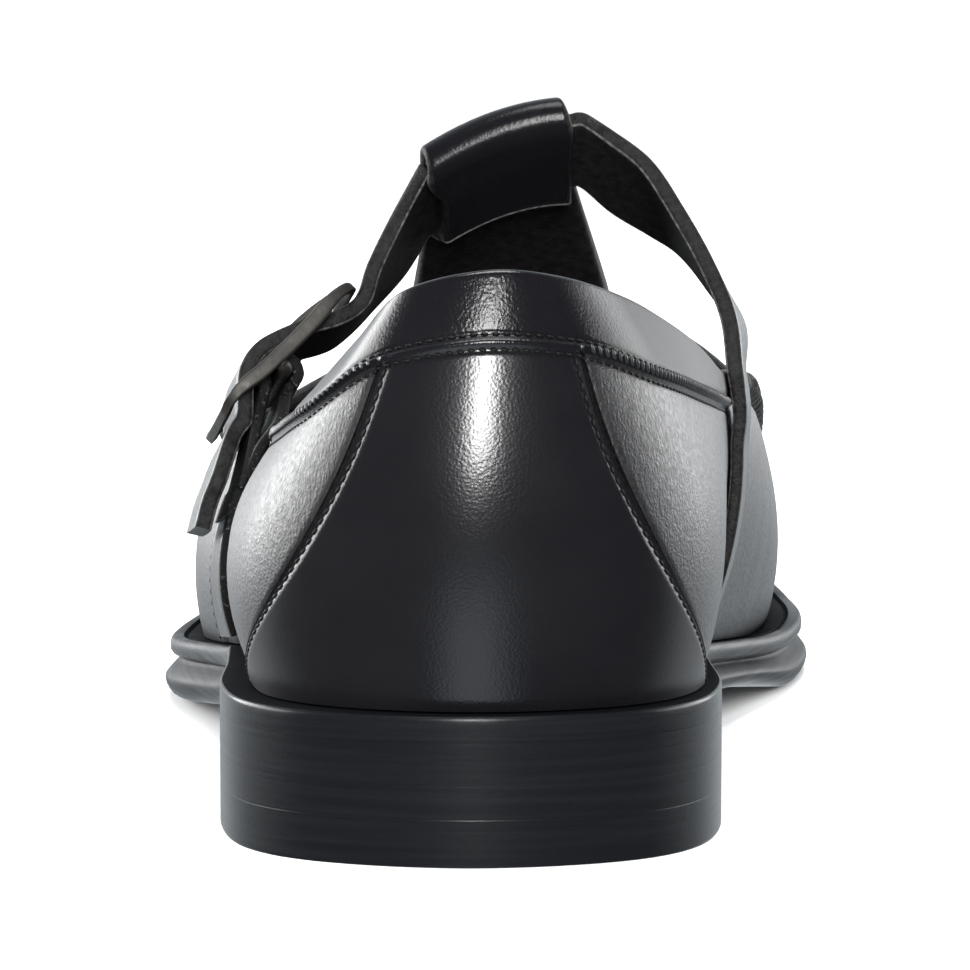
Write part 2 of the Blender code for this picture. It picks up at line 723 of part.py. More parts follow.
# Buckle on the lateral side: the ends of its rear side bar, and the way across the strap
BUCKLE_UPPER = np.array([-20.3, 108.0, 72.9])
BUCKLE_LOWER = np.array([-39.3, 98.0, 54.7])
BUCKLE_MIDDLE = (BUCKLE_UPPER + BUCKLE_LOWER) / 2.0
BUCKLE_HALF = np.linalg.norm(BUCKLE_LOWER - BUCKLE_UPPER) / 2.0
BUCKLE_WIDE = 22.4
BUCKLE_DOWN = (BUCKLE_LOWER - BUCKLE_UPPER) / (2.0 * BUCKLE_HALF)
BUCKLE_ACROSS = np.array([-0.26, 0.880, -0.400])
BUCKLE_ACROSS -= BUCKLE_DOWN * BUCKLE_ACROSS.dot(BUCKLE_DOWN)
BUCKLE_ACROSS /= np.linalg.norm(BUCKLE_ACROSS)
BUCKLE_OUT = np.cross(BUCKLE_ACROSS, BUCKLE_DOWN)
BAR_DOWN = 3.0
BAR_DEPTH = -1.8
BAR_RADIUS = 1.1
SIDE_ROOM = (BUCKLE_WIDE - STRAP_WIDTH) / 2.0


def at_buckle(down, across, out):
    """Point in the buckle's own directions."""
    return BUCKLE_MIDDLE + down * BUCKLE_DOWN + across * BUCKLE_ACROSS + out * BUCKLE_OUT


def buckle_wave(down):
    """Way out of the frame's middle line: low at its middle, high near its rounded ends."""
    return through([0.0, 0.4, 0.75, 0.92, 1.0], [0.2, 0.35, 0.8, 0.6, 0.1], abs(down) / BUCKLE_HALF)


def strap_at_buckle(down, out, width=STRAP_WIDTH):
    """Row of a strap's inner face at the buckle."""
    rear = at_buckle(down, SIDE_ROOM, out)
    return strap_row(rear, rear + width * BUCKLE_ACROSS)


# Free run of the ankle strap's inner face between the medial wall and the loop, and on to the buckle
StrapRow = namedtuple("StrapRow", "rear_x rear_y rear_z front_x front_y front_z")
MEDIAL_RISE = [
    StrapRow(35.8, 97.0, 68.6, 38.4, 115.0, 65.6),
    StrapRow(32.6, 100.2, 76.4, 34.7, 118.0, 71.4),
    StrapRow(28.4, 104.4, 84.0, 30.4, 121.6, 76.6),
    StrapRow(24.0, 108.0, 90.8, 26.0, 124.0, 80.4),
    StrapRow(18.8, 110.8, 95.0, 20.4, 125.4, 84.0),
]
LATERAL_FALL = [
    StrapRow(-11.6, 111.8, 82.6, -12.4, 126.6, 72.8),
    StrapRow(-15.2, 110.2, 75.0, -17.2, 126.6, 67.6),
]
# Height of the ankle strap's inner face through the buckle: over the centre bar, under both ends
StrapAtBuckle = namedtuple("StrapAtBuckle", "down out")
THROUGH_BUCKLE = [
    StrapAtBuckle(-14.5, -4.5),
    StrapAtBuckle(-9.5, -3.2),
    StrapAtBuckle(-4.5, -0.6),
    StrapAtBuckle(0.0, 1.2),
    StrapAtBuckle(3.2, 1.9),
    StrapAtBuckle(6.2, 1.2),
    StrapAtBuckle(8.6, -0.7),
    StrapAtBuckle(12.2, -3.9),
    StrapAtBuckle(15.4, -4.6),
]
# Fold of the buckle strap round the centre bar, seen along the bar
ROUND_BAR = [
    StrapAtBuckle(5.0, -5.3),
    StrapAtBuckle(3.0, -5.0),
    StrapAtBuckle(0.9, -4.2),
    StrapAtBuckle(-0.2, -1.8),
    StrapAtBuckle(0.75, 0.5),
    StrapAtBuckle(3.0, 1.4),
    StrapAtBuckle(5.8, 0.7),
    StrapAtBuckle(8.0, -1.2),
]
BASE_LEVELS = (0.05, 0.16, 0.28, 0.4, 0.52, 0.64, 0.74)


def build_ankle_strap(material, parent):
    """Ankle strap: up the medial wall, through the T-bar's loop, through the buckle, and its free end."""
    rows = [on_wall(1, level, SEAM_GAP) for level in BASE_LEVELS]
    rows += [on_wall(1, level, SEAM_GAP + BAND_STEP) for level in (0.84, 0.92, 1.0)]
    rows += [strap_row(row[:3], row[3:]) for row in MEDIAL_RISE]
    depth = WALL + SEAM_GAP + STRAP_THICKNESS
    for x in (13.8, 12.0, 6.0, 0.0, -6.0, -10.1, -10.9):
        rear = instep_point(x, LOOP_TOP_Y) - depth * INSTEP_NORMAL
        rows.append(strap_row(rear, rear - STRAP_WIDTH * INSTEP_UP))
    rows += [strap_row(row[:3], row[3:]) for row in LATERAL_FALL]
    rows += [strap_at_buckle(row.down, row.out) for row in THROUGH_BUCKLE]
    over_chape = SEAM_GAP + CHAPE_THICKNESS + 6.0 * SEAM_GAP
    rows += [on_wall(-1, level, over_chape) for level in (0.68, 0.58, 0.48)]
    return build_ribbon("ankle_strap", rows, 1, STRAP_THICKNESS, 2, material, parent)


def build_buckle_strap(material, parent):
    """Buckle strap: up the lateral wall from the welt, and folded round the buckle's centre bar."""
    rows = [on_wall(-1, level, SEAM_GAP) for level in BASE_LEVELS]
    rows += [on_wall(-1, level, SEAM_GAP + BAND_STEP) for level in (0.84, 0.95)]
    rows += [strap_at_buckle(row.down, row.out, CHAPE_WIDTH) for row in ROUND_BAR]
    return build_ribbon("buckle_strap", rows, -1, CHAPE_THICKNESS, 2, material, parent)


def tube(name, path, radii, closed, material, parent, flat=1.0):
    """Round bar along a path, its radius given at every point."""
    sides = 8
    points, faces = [], []
    count = len(path)
    for i, centre in enumerate(path):
        after = path[(i + 1) % count] if closed else path[min(i + 1, count - 1)]
        before = path[i - 1] if closed else path[max(i - 1, 0)]
        ahead = (after - before) / np.linalg.norm(after - before)
        up = BUCKLE_OUT - ahead * BUCKLE_OUT.dot(ahead)
        if np.linalg.norm(up) < 0.2:
            up = BUCKLE_DOWN - ahead * BUCKLE_DOWN.dot(ahead)
        up /= np.linalg.norm(up)
        side = np.cross(ahead, up)
        for k in range(sides):
            angle = 2.0 * np.pi * (k + 0.5) / sides
            points.append(centre + radii[i] * (np.cos(angle) * flat * up + np.sin(angle) * side))
    for i in range(count if closed else count - 1):
        j = (i + 1) % count
        for k in range(sides):
            m = (k + 1) % sides
            faces.append((i * sides + k, i * sides + m, j * sides + m, j * sides + k))
    if not closed:
        faces += [tuple(range(sides)), tuple(range((count - 1) * sides, count * sides))]
    return make_piece(name, points, faces, material, parent)


def build_buckle(material, parent):
    """Buckle: an arched frame with round corners, and a centre bar on two short legs."""
    corner, bar_size = 3.2, 1.35
    path = []
    ends = [(1, 1, 0.0), (-1, 1, 90.0), (-1, -1, 180.0), (1, -1, 270.0)]
    for sign_down, sign_across, start in ends:
        for angle in np.radians(start + np.linspace(0.0, 90.0, 4)):
            down = sign_down * (BUCKLE_HALF - corner) + corner * np.cos(angle)
            across = sign_across * (BUCKLE_WIDE / 2.0 - corner) + corner * np.sin(angle)
            path.append((down, BUCKLE_WIDE / 2.0 + across))
        if sign_down == sign_across:
            path += [(sign_down * way, path[-1][1]) for way in (6.0, 0.0, -6.0)]
    frame_path = [at_buckle(down, across, buckle_wave(down)) for down, across in path]
    frame = tube("buckle_frame", frame_path, [bar_size] * len(path), True, material, parent, 0.8)
    bow = buckle_wave(BAR_DOWN)
    bend = 1.2
    bar_path = [at_buckle(BAR_DOWN, across, out) for across, out in (
        (0.0, bow), (0.0, BAR_DEPTH + bend), (bend * 0.35, BAR_DEPTH + bend * 0.35), (bend, BAR_DEPTH),
        (BUCKLE_WIDE - bend, BAR_DEPTH), (BUCKLE_WIDE - bend * 0.35, BAR_DEPTH + bend * 0.35),
        (BUCKLE_WIDE, BAR_DEPTH + bend), (BUCKLE_WIDE, bow))]
    bar = tube("centre_bar", bar_path, [BAR_RADIUS] * len(bar_path), False, material, parent)
    bar.hide_render = True
    bar.display_type = "WIRE"
    join = frame.modifiers.new("centre_bar", "BOOLEAN")
    join.operation = "UNION"
    join.solver = "EXACT"
    join.object = bar
    return frame


def build_prong(material, parent):
    """Prong: from the hole in the strap to its rest on the frame's upper end."""
    start = at_buckle(-4.2, BUCKLE_WIDE / 2.0, 2.9)
    end = at_buckle(-15.0, BUCKLE_WIDE / 2.0, 1.9)
    shares = (0.0, 0.06, 0.3, 0.6, 0.9, 1.0)
    radii = (0.4, 0.65, 0.7, 0.7, 0.65, 0.4)
    path = [start + (end - start) * share for share in shares]
    return tube("buckle_prong", path, radii, False, material, parent)


def main():
    """Build every piece under one empty that carries the shoe to metres and to its own middle."""
    clear_scene()
    carrier = bpy.data.objects.new("sandal", None)
    bpy.context.scene.collection.objects.link(carrier)
    black_sole = finish("black_sole_edge", (0.012, 0.013, 0.015), 0.45)
    black_leather = finish("black_polished_leather", (0.010, 0.010, 0.011), 0.25)
    lining = finish("black_lining", (0.016, 0.015, 0.015), 0.7)
    strap_leather = finish("black_strap_leather", (0.012, 0.012, 0.012), 0.35)
    gunmetal = finish("dark_gunmetal", (0.16, 0.15, 0.14), 0.35, 1.0)
    pieces = [
        build_outsole(black_sole, carrier),
        build_welt(black_sole, carrier),
        build_heel(black_sole, carrier),
        build_insole(lining, carrier),
        build_upper(black_leather, carrier),
        build_ankle_strap(strap_leather, carrier),
        build_buckle_strap(strap_leather, carrier),
        build_buckle(gunmetal, carrier),
        build_prong(gunmetal, carrier),
    ]
    corners = np.array([vertex.co for piece in pieces for vertex in piece.data.vertices])
    low, high = corners.min(axis=0), corners.max(axis=0)
    carrier.scale = (MILLIMETRE, MILLIMETRE, MILLIMETRE)
    middle = (low + high) / 2.0
    carrier.location = [-MILLIMETRE * v for v in (middle[0], middle[1], low[2])]


main()
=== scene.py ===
# %% [markdown]
# # Fisherman sandal, left shoe
# A black leather shoe with a closed heel and toe, strips with gaps over the forefoot, a T-bar and a
# buckled ankle strap. It stands empty on its sole and is seen from behind, so its lateral side with the
# buckle is at the left. The solids are already made and measured. This lesson gives each of them the
# finish of the real shoe: rounded edges, piped seams, stitches, grain and worn metal.

# %% Load the solids
import math

import bmesh
import bpy
import numpy as np
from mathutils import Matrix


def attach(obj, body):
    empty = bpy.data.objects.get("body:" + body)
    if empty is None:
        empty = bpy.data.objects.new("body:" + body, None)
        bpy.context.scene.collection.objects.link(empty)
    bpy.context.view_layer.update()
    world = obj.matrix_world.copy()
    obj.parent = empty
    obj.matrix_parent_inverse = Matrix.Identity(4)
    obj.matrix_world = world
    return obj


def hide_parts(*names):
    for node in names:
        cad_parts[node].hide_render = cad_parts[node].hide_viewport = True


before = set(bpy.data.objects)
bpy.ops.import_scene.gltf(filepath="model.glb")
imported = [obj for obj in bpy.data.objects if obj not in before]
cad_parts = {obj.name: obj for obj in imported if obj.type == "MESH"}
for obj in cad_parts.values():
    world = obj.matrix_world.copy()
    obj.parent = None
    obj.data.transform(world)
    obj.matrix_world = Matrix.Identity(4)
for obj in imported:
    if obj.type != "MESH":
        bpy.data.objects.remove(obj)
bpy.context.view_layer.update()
print("solids:", sorted(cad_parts))

# %% [markdown]
# ## The last in tables
# A shoe is drawn from its last: the outline of the sole, the heights along it, and sections of the upper
# at the feather line, at its girth and at its top edge. All values are in millimetres, with the heel at
# y = 0, the toe at +y and the medial side at +x. The solids were made from the same tables, so finer
# surfaces made from them fall on the solids.

# %% Tables of the last
MM = 0.001
SHOE_ZERO = np.array([-0.001228, -0.149347, 0.0])
SOLE_ROWS = np.array([  # y, lateral x, medial x
    (0.0, -2.0, -2.0), (5.0, -21.5, 17.5), (16.5, -33.0, 29.0), (36.0, -37.6, 33.6), (62.0, -38.0, 33.2),
    (92.0, -39.5, 32.5), (120.0, -43.8, 35.0), (148.0, -50.0, 42.6), (175.0, -52.8, 50.4),
    (203.0, -50.2, 55.0), (230.0, -45.6, 54.2), (256.0, -37.0, 49.8), (278.0, -24.0, 41.0),
    (292.5, -8.0, 28.5), (298.0, 10.5, 10.5)])
HEIGHT_ROWS = np.array([  # y, ledge, underside
    (0.0, 20.7, 11.3), (77.0, 20.3, 11.3), (95.0, 18.2, 9.2), (120.0, 15.4, 5.8), (148.0, 12.6, 2.6),
    (166.0, 11.0, 0.9), (184.0, 10.2, 0.0), (222.0, 10.2, 0.0), (240.0, 11.0, 0.8), (260.0, 12.8, 2.6),
    (281.0, 15.6, 5.4), (298.0, 18.6, 8.6)])
UPPER_ROWS = np.array([  # y, feather lat med, girth y lat med, top y lat med, rise lat med
    (4.0, -1.5, -1.5, 0.6, -1.5, -1.5, 7.0, 0.5, 0.5, 81.0, 81.0),
    (8.5, -18.0, 15.5, 5.5, -19.5, 17.5, 9.8, -10.5, 10.0, 78.2, 80.0),
    (19.0, -28.5, 26.0, 17.0, -31.0, 28.5, 21.0, -15.8, 18.2, 71.8, 76.8),
    (36.0, -32.4, 30.5, 36.0, -35.6, 33.5, 40.0, -19.0, 24.6, 66.6, 72.4),
    (62.0, -33.2, 30.6, 62.0, -37.4, 35.4, 63.0, -22.5, 30.5, 61.6, 67.2),
    (92.0, -36.0, 30.4, 92.0, -38.0, 36.2, 92.0, -27.8, 35.6, 54.2, 61.0),
    (120.0, -40.5, 33.0, 120.0, -42.0, 39.2, 120.0, -33.2, 38.0, 48.8, 59.0),
    (150.0, -45.2, 40.4, 150.0, -46.4, 45.0, 149.0, -38.6, 41.6, 48.4, 55.6),
    (178.0, -46.4, 46.2, 178.0, -47.2, 48.8, 177.0, -41.0, 43.6, 45.4, 49.4),
    (205.0, -44.4, 48.6, 205.0, -45.6, 49.8, 203.0, -39.0, 44.4, 41.6, 42.8),
    (230.0, -39.6, 48.0, 230.5, -41.0, 49.4, 227.5, -34.6, 43.4, 38.6, 39.0),
    (253.0, -31.4, 43.8, 254.0, -32.6, 44.8, 248.0, -26.4, 38.4, 36.4, 36.6),
    (272.0, -19.0, 35.4, 273.5, -20.0, 36.2, 264.5, -15.0, 30.4, 35.2, 35.2),
    (285.0, -5.0, 24.5, 287.0, -5.6, 25.0, 275.5, -2.6, 21.6, 34.6, 34.6),
    (290.0, 10.2, 10.2, 292.4, 10.2, 10.2, 279.5, 10.2, 10.2, 34.4, 34.4)])
RIDGE_ROWS = np.array([  # y, height, x of the forefoot's ridge
    (150.0, 73.0, 8.0), (165.0, 66.5, 8.5), (178.0, 61.5, 9.0), (204.0, 54.0, 9.0), (230.0, 48.0, 9.5),
    (248.0, 44.4, 9.8), (264.5, 40.6, 10.0), (275.5, 37.2, 10.2), (279.5, 34.4, 10.2)])
STRIPS = [(7.54, 8.11), (8.44, 9.04), (9.33, 9.89)]
TOE_CAP = 10.2
VAMP_EDGE = 6.0
LAST_ROW = len(UPPER_ROWS) - 1
TURN = 2 * LAST_ROW
print("rows of the last:", len(UPPER_ROWS), "strips a side:", len(STRIPS))

# %% [markdown]
# ## Curves through the tables
# A last has no corners, so its values run on smooth cubics. `through` never swings past a table value,
# which suits heights. `round_loop` goes once round the shoe through all points of both sides, and `along`
# does the same for an open strap.

# %% Curve functions
def hermite(start, end, leave, arrive, t):
    """Cubic between two values with given end slopes."""
    rise = 3 * t**2 - 2 * t**3
    return start + (end - start) * rise + (t**3 - 2 * t**2 + t) * leave + (t**3 - t**2) * arrive


def through(xs, ys, x):
    """Smooth values at x through the points (xs, ys), level where two neighbours are equal."""
    xs, ys, x = (np.asarray(v, float) for v in (xs, ys, x))
    step = np.diff(xs)
    slope = np.diff(ys) / step
    same_way = slope[:-1] * slope[1:] > 0.0
    total = np.where(same_way, slope[:-1] + slope[1:], 1.0)
    inner = np.where(same_way, 2.0 * slope[:-1] * slope[1:] / total, 0.0)
    tangent = np.concatenate([slope[:1], inner, slope[-1:]])
    i = np.clip(np.searchsorted(xs, x) - 1, 0, len(step) - 1)
    t = np.clip((x - xs[i]) / step[i], 0.0, 1.0)
    return hermite(ys[i], ys[i + 1], tangent[i] * step[i], tangent[i + 1] * step[i], t)


def round_loop(points, q):
    """Points at the places q on the closed smooth curve."""
    q = np.asarray(q, float)
    i = np.floor(q).astype(int)
    a, b, c, d = (points[(i + k) % len(points)] for k in (-1, 0, 1, 2))
    return hermite(b, c, (c - a) / 2.0, (d - b) / 2.0, (q - i)[..., None])


def along(points, q):
    """Points at the places q on the open smooth curve."""
    points = np.asarray(points, float)
    longer = np.concatenate([[2 * points[0] - points[1]], points, [2 * points[-1] - points[-2]]])
    i = np.clip(np.floor(q).astype(int), 0, len(points) - 2)
    a, b, c, d = (longer[i + k] for k in range(4))
    t = (q - i).reshape((-1,) + (1,) * (points.ndim - 1))
    return hermite(b, c, (c - a) / 2.0, (d - b) / 2.0, t)


def both_sides(medial, lateral):
    """Columns of a table as one loop: up the medial side and back by the lateral."""
    return np.vstack([np.column_stack(medial), np.column_stack(lateral)[-2:0:-1]])


def smooth_step(low, high, x):
    """0 below low, 1 above high."""
    t = np.clip((x - low) / (high - low), 0.0, 1.0)
    return t * t * (3.0 - 2.0 * t)


SOLE_LOOP = both_sides((SOLE_ROWS[:, 2], SOLE_ROWS[:, 0]), (SOLE_ROWS[:, 1], SOLE_ROWS[:, 0]))
U = UPPER_ROWS.T
UPPER_LOOP = both_sides((U[2], U[0], U[5], U[3], U[8], U[6], U[10]),
                        (U[1], U[0], U[4], U[3], U[7], U[6], U[9]))
FEATHER_LOOP = UPPER_LOOP[:, :2]
print("loop round the upper:", UPPER_LOOP.shape)

# %% [markdown]
# ## The wall of the upper
# Any point of the wall has a place round the shoe and a level from the feather line to the top edge. The
# wall bows out to its girth and leans in again. The sole below it has a ledge, and an underside that
# arches higher on the medial side.

# %% Wall and sole functions
GIRTH_LEVEL = 0.45
SEAM_GAP = 0.3
MEDIAL_ARCH, MEDIAL_ARCH_X = 2.4, 40.0
ARCH_ROWS = np.array([(0.0, 0.0), (77.0, 0.0), (152.0, 1.0), (190.0, 0.0), (298.0, 0.0)])  # y, share
NUDGE = 0.02  # how far from a place its neighbours are taken for a direction


def ledge_z(y):
    """Height of the welt's top face."""
    return through(HEIGHT_ROWS[:, 0], HEIGHT_ROWS[:, 1], y)


def underside_z(x, y):
    """Height of the outsole's lower face."""
    arch = through(ARCH_ROWS[:, 0], ARCH_ROWS[:, 1], y)
    low = through(HEIGHT_ROWS[:, 0], HEIGHT_ROWS[:, 2], y)
    return low + MEDIAL_ARCH * arch * np.clip(x / MEDIAL_ARCH_X, 0.0, 1.0)


def outward(loop, q):
    """Unit vectors in plan out of a loop."""
    q = np.asarray(q, float)
    ahead = round_loop(loop, q + NUDGE) - round_loop(loop, q - NUDGE)
    normal = np.stack([ahead[..., 1], -ahead[..., 0]], axis=-1)
    return normal / np.linalg.norm(normal, axis=-1, keepdims=True)


def wall_point(q, level):
    """Points of the wall, level 0 at the feather line and 1 at the top edge."""
    q, level = np.broadcast_arrays(np.asarray(q, float), np.asarray(level, float))
    row = round_loop(UPPER_LOOP, q)
    low = ledge_z(row[..., 1]) + SEAM_GAP
    g, v = GIRTH_LEVEL, level[..., None]
    plan = (v - g) * (v - 1.0) / g * row[..., 0:2]
    plan = plan + v * (v - 1.0) / (g * (g - 1.0)) * row[..., 2:4] + v * (v - g) / (1.0 - g) * row[..., 4:6]
    height = low + (row[..., 6] - low) * level
    return np.concatenate([plan, height[..., None]], axis=-1)


def wall_normal(q, level):
    """Unit vectors out of the wall."""
    q, level = np.broadcast_arrays(np.asarray(q, float), np.asarray(level, float))
    around = wall_point(q + NUDGE, level) - wall_point(q - NUDGE, level)
    up = wall_point(q, level + NUDGE) - wall_point(q, level - NUDGE)
    normal = np.cross(around, up)
    return normal / np.linalg.norm(normal, axis=-1, keepdims=True)


def place(r, side):
    """Place round the loop of row r on the medial (+1) or the lateral (-1) side."""
    return np.asarray(r, float) * side


def wall_height(q):
    """Height of the wall above the ledge."""
    row = round_loop(UPPER_LOOP, q)
    return row[..., 6] - ledge_z(row[..., 1]) - SEAM_GAP


BAND_ROWS = np.array([  # row, height
    (0.0, 9.8), (1.0, 10.1), (2.0, 11.2), (3.0, 10.3), (4.0, 8.3), (5.0, 5.2), (7.0, 4.0), (14.0, 3.6)])


def band_height(r):
    """Height of the collar band, which goes on as the rolled seam on the forefoot."""
    return through(BAND_ROWS[:, 0], BAND_ROWS[:, 1], r)


COUNTER_TOP_ROW, COUNTER_TOP_LEVEL = 0.93, 0.8
COUNTER_SPREAD, COUNTER_BEND = 2.07, 2.2


def counter_seam(level):
    """Row at which the heel counter ends: far forward at the feather, near the heel at the collar."""
    way_down = np.maximum(0.0, 1.0 - level / COUNTER_TOP_LEVEL)
    return COUNTER_TOP_ROW + COUNTER_SPREAD * way_down**COUNTER_BEND


print("top of the collar at the heel:", np.round(wall_point(0.0, 1.0), 1))

# %% [markdown]
# ## From arrays to pieces
# Every piece is one mesh from arrays, with its place in its points. Grid functions number the points and
# join them into quads, and one maker turns the whole into metres, shades it and gives it its materials.
# A list of finishes says which material each face of a leather piece takes.

# %% Piece makers
LEATHER, LINING, CUT_EDGE, EDGE_HIGHLIGHT_AND_DUST, COUNTER, COLLAR, TBAR, PAINTED_SEAM_SHADE = range(8)


def numbered(grid):
    """Numbers of the points of a grid, row by row."""
    return np.arange(grid.shape[0] * grid.shape[1]).reshape(grid.shape[:2])


def quads(numbers, closed=False):
    """Quads between the rows and columns of a grid of point numbers."""
    if closed:
        numbers = np.hstack([numbers, numbers[:, :1]])
    a, b, c, d = numbers[:-1, :-1], numbers[1:, :-1], numbers[1:, 1:], numbers[:-1, 1:]
    return np.stack([a, b, c, d], axis=-1).reshape(-1, 4)


def capped(numbers):
    """Faces of a closed tube, with one face on each end."""
    return quads(numbers, closed=True).tolist() + [numbers[0].tolist(), numbers[-1].tolist()]


def add_object(name, data):
    """An object in the scene, at the origin and unscaled."""
    thing = bpy.data.objects.new(name, data)
    bpy.context.scene.collection.objects.link(thing)
    return thing


def make_piece(name, points, faces, materials, kinds=None, sharp=60.0):
    """One piece in metres, its faces turned out, its round parts shaded smooth."""
    mesh = bpy.data.meshes.new(name)
    world = np.asarray(points, float) * MM + SHOE_ZERO
    faces = faces.tolist() if isinstance(faces, np.ndarray) else faces
    mesh.from_pydata(world.tolist(), [], [tuple(dict.fromkeys(face)) for face in faces])
    for material in materials:
        mesh.materials.append(material)
    if kinds is not None:
        mesh.polygons.foreach_set("material_index", np.asarray(kinds, np.int32))
    shape = bmesh.new()
    shape.from_mesh(mesh)
    bmesh.ops.recalc_face_normals(shape, faces=shape.faces)
    shape.to_mesh(mesh)
    shape.free()
    mesh.shade_smooth()
    mesh.set_sharp_from_angle(angle=math.radians(sharp))
    return add_object(name, mesh)


def hand_over(piece, node):
    """The piece stands for a solid, which it hides, and moves with the shoe."""
    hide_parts(node)
    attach(piece, "root")
    print(piece.name, len(piece.data.polygons), "faces")


print("finishes of leather faces:", PAINTED_SEAM_SHADE + 1)

# %% [markdown]
# ## Finishes
# The leather is dyed through, waxed and polished: nearly black, with fine pores that break up every
# highlight. The counter and the collar are burnished most at the back of the heel, so their polish fades
# towards the sides. Low on the wall, just above the welt, the leather's shine is taken away as painted
# shade for the shadow there, and the welt's top face has painted shade too. The counter seam's groove is
# painted near-black as shade, and a lighter painted highlight marks the edges of the ankle strap's flesh
# side and the T-bar's sewn end. The lining is matt, the cut edges are fibrous, and the sole's edges are
# trimmed on a wheel, which leaves fine lines all the way round. Each finish is made of noise in the
# shoe's own space.

# %% Finish functions
def shader_of(name, colour, roughness, **more):
    """A material with its main values set on the shader itself."""
    material = bpy.data.materials.new(name)
    material.use_nodes = True
    shader = material.node_tree.nodes["Principled BSDF"]
    shader.inputs["Base Color"].default_value = (*colour, 1.0)
    shader.inputs["Roughness"].default_value = roughness
    for key, value in more.items():
        shader.inputs[key.replace("_", " ")].default_value = value
    return material, material.node_tree, shader


def noise(tree, scale, detail=3.0, stretch=(1.0, 1.0, 1.0)):
    """Noise in object space, in features per metre, stretched where the stretch is below 1."""
    space = tree.nodes.new("ShaderNodeTexCoord")
    mapping = tree.nodes.new("ShaderNodeMapping")
    mapping.inputs["Scale"].default_value = stretch
    texture = tree.nodes.new("ShaderNodeTexNoise")
    texture.inputs["Scale"].default_value = scale
    texture.inputs["Detail"].default_value = detail
    tree.links.new(space.outputs["Object"], mapping.inputs["Vector"])
    tree.links.new(mapping.outputs["Vector"], texture.inputs["Vector"])
    return texture.outputs["Fac"]


def pores(tree, scale):
    """Cells of leather grain, in cells per metre."""
    space = tree.nodes.new("ShaderNodeTexCoord")
    texture = tree.nodes.new("ShaderNodeTexVoronoi")
    texture.feature = "SMOOTH_F1"
    texture.inputs["Scale"].default_value = scale
    tree.links.new(space.outputs["Object"], texture.inputs["Vector"])
    return texture.outputs["Distance"]


def axes_of(tree, space):
    """The three axes of a texture space."""
    source = tree.nodes.new("ShaderNodeTexCoord")
    split = tree.nodes.new("ShaderNodeSeparateXYZ")
    tree.links.new(source.outputs[space], split.inputs["Vector"])
    return split.outputs


def bumps(tree, shader, layers):
    """Bump layers of (height, depth in metres, strength) on one shader, the finest last."""
    before = None
    for height, depth, strength in layers:
        bump = tree.nodes.new("ShaderNodeBump")
        bump.inputs["Distance"].default_value = depth
        bump.inputs["Strength"].default_value = strength
        tree.links.new(height, bump.inputs["Height"])
        if before is not None:
            tree.links.new(before, bump.inputs["Normal"])
        before = bump.outputs["Normal"]
    tree.links.new(before, shader.inputs["Normal"])
    tree.links.new(before, shader.inputs["Coat Normal"])


def ranged(tree, value, start, end, low, high, blend="LINEAR"):
    """A node value carried from one range into another."""
    node = tree.nodes.new("ShaderNodeMapRange")
    node.interpolation_type = blend
    for key, number in zip(("From Min", "From Max", "To Min", "To Max"), (start, end, low, high)):
        node.inputs[key].default_value = number
    tree.links.new(value, node.inputs["Value"])
    return node.outputs["Result"]


def spread(tree, value, low, high, socket, start=0.3, end=0.7):
    """Carry a noise value into a range of a shader socket."""
    tree.links.new(ranged(tree, value, start, end, low, high), socket)


def tones(tree, value, dark, light, socket, start=0.35, end=0.65):
    """Carry a noise value into a blend of two colours."""
    ramp = tree.nodes.new("ShaderNodeValToRGB")
    for element, position, colour in zip(ramp.color_ramp.elements, (start, end), (dark, light)):
        element.position = position
        element.color = (*colour, 1.0)
    tree.links.new(value, ramp.inputs["Fac"])
    tree.links.new(ramp.outputs["Color"], socket)


print("finish functions:", [f.__name__ for f in (noise, pores, bumps, spread, tones)])

# %% Leathers
DYE, DYE_DARK, DYE_LIGHT = (0.006, 0.006, 0.007), (0.004, 0.004, 0.005), (0.0055, 0.0055, 0.0065)
LEATHERS = {  # roughness, shine, strength of the wrinkles, of the pores, of the fine grain
    "polished_leather": (0.20, 0.3, 0.05, 0.12, 0.05),
    "satin_leather": (0.46, 0.5, 0.5, 0.3, 0.2),
    "collar_leather": (0.3, 0.16, 0.2, 0.15, 0.1),
    "tbar_leather": (0.22, 0.12, 0.2, 0.12, 0.10),
    "strap_leather": (0.38, 0.4, 0.2, 0.12, 0.12)}
FADES = [  # leather, shader value, axis, value before and after, from where to where in millimetres
    ("polished_leather", "Roughness", "Y", 0.20, 0.5, 7.0, 20.0),
    ("polished_leather", "Specular IOR Level", "Y", 0.3, 0.7, 9.0, 24.0),
    # painted shade: the satin leather has no shine low on the wall, just above the welt, standing in for the
    # shadow there
    ("satin_leather", "Specular IOR Level", "Z", 0.0, 0.5, 11.5, 19.0),
    ("collar_leather", "Roughness", "Y", 0.18, 0.5, 6.0, 20.0),
    ("collar_leather", "Specular IOR Level", "Y", 0.16, 0.36, 14.0, 50.0)]


def dressed(name, roughness, shine, wrinkle, pore, fine):
    """Waxed black leather: soft creases, upright wrinkles, pores and a fine broken gloss."""
    material, tree, shader = shader_of(name, DYE, roughness, Specular_IOR_Level=shine)
    tones(tree, noise(tree, 60.0, 4.0), DYE_DARK, DYE_LIGHT, shader.inputs["Base Color"])
    spread(tree, noise(tree, 1200.0, 5.0), roughness * 0.85, roughness * 1.2, shader.inputs["Roughness"])
    bumps(tree, shader, [
        (noise(tree, 90.0, 3.0, (1.0, 1.0, 0.4)), 0.0006, 0.05),
        (noise(tree, 2400.0, 4.0, (1.0, 1.0, 0.35)), 0.00016, wrinkle),
        (pores(tree, 2600.0), 0.00015, pore),
        (noise(tree, 3000.0, 4.0), 0.0001, fine),
    ])
    return material


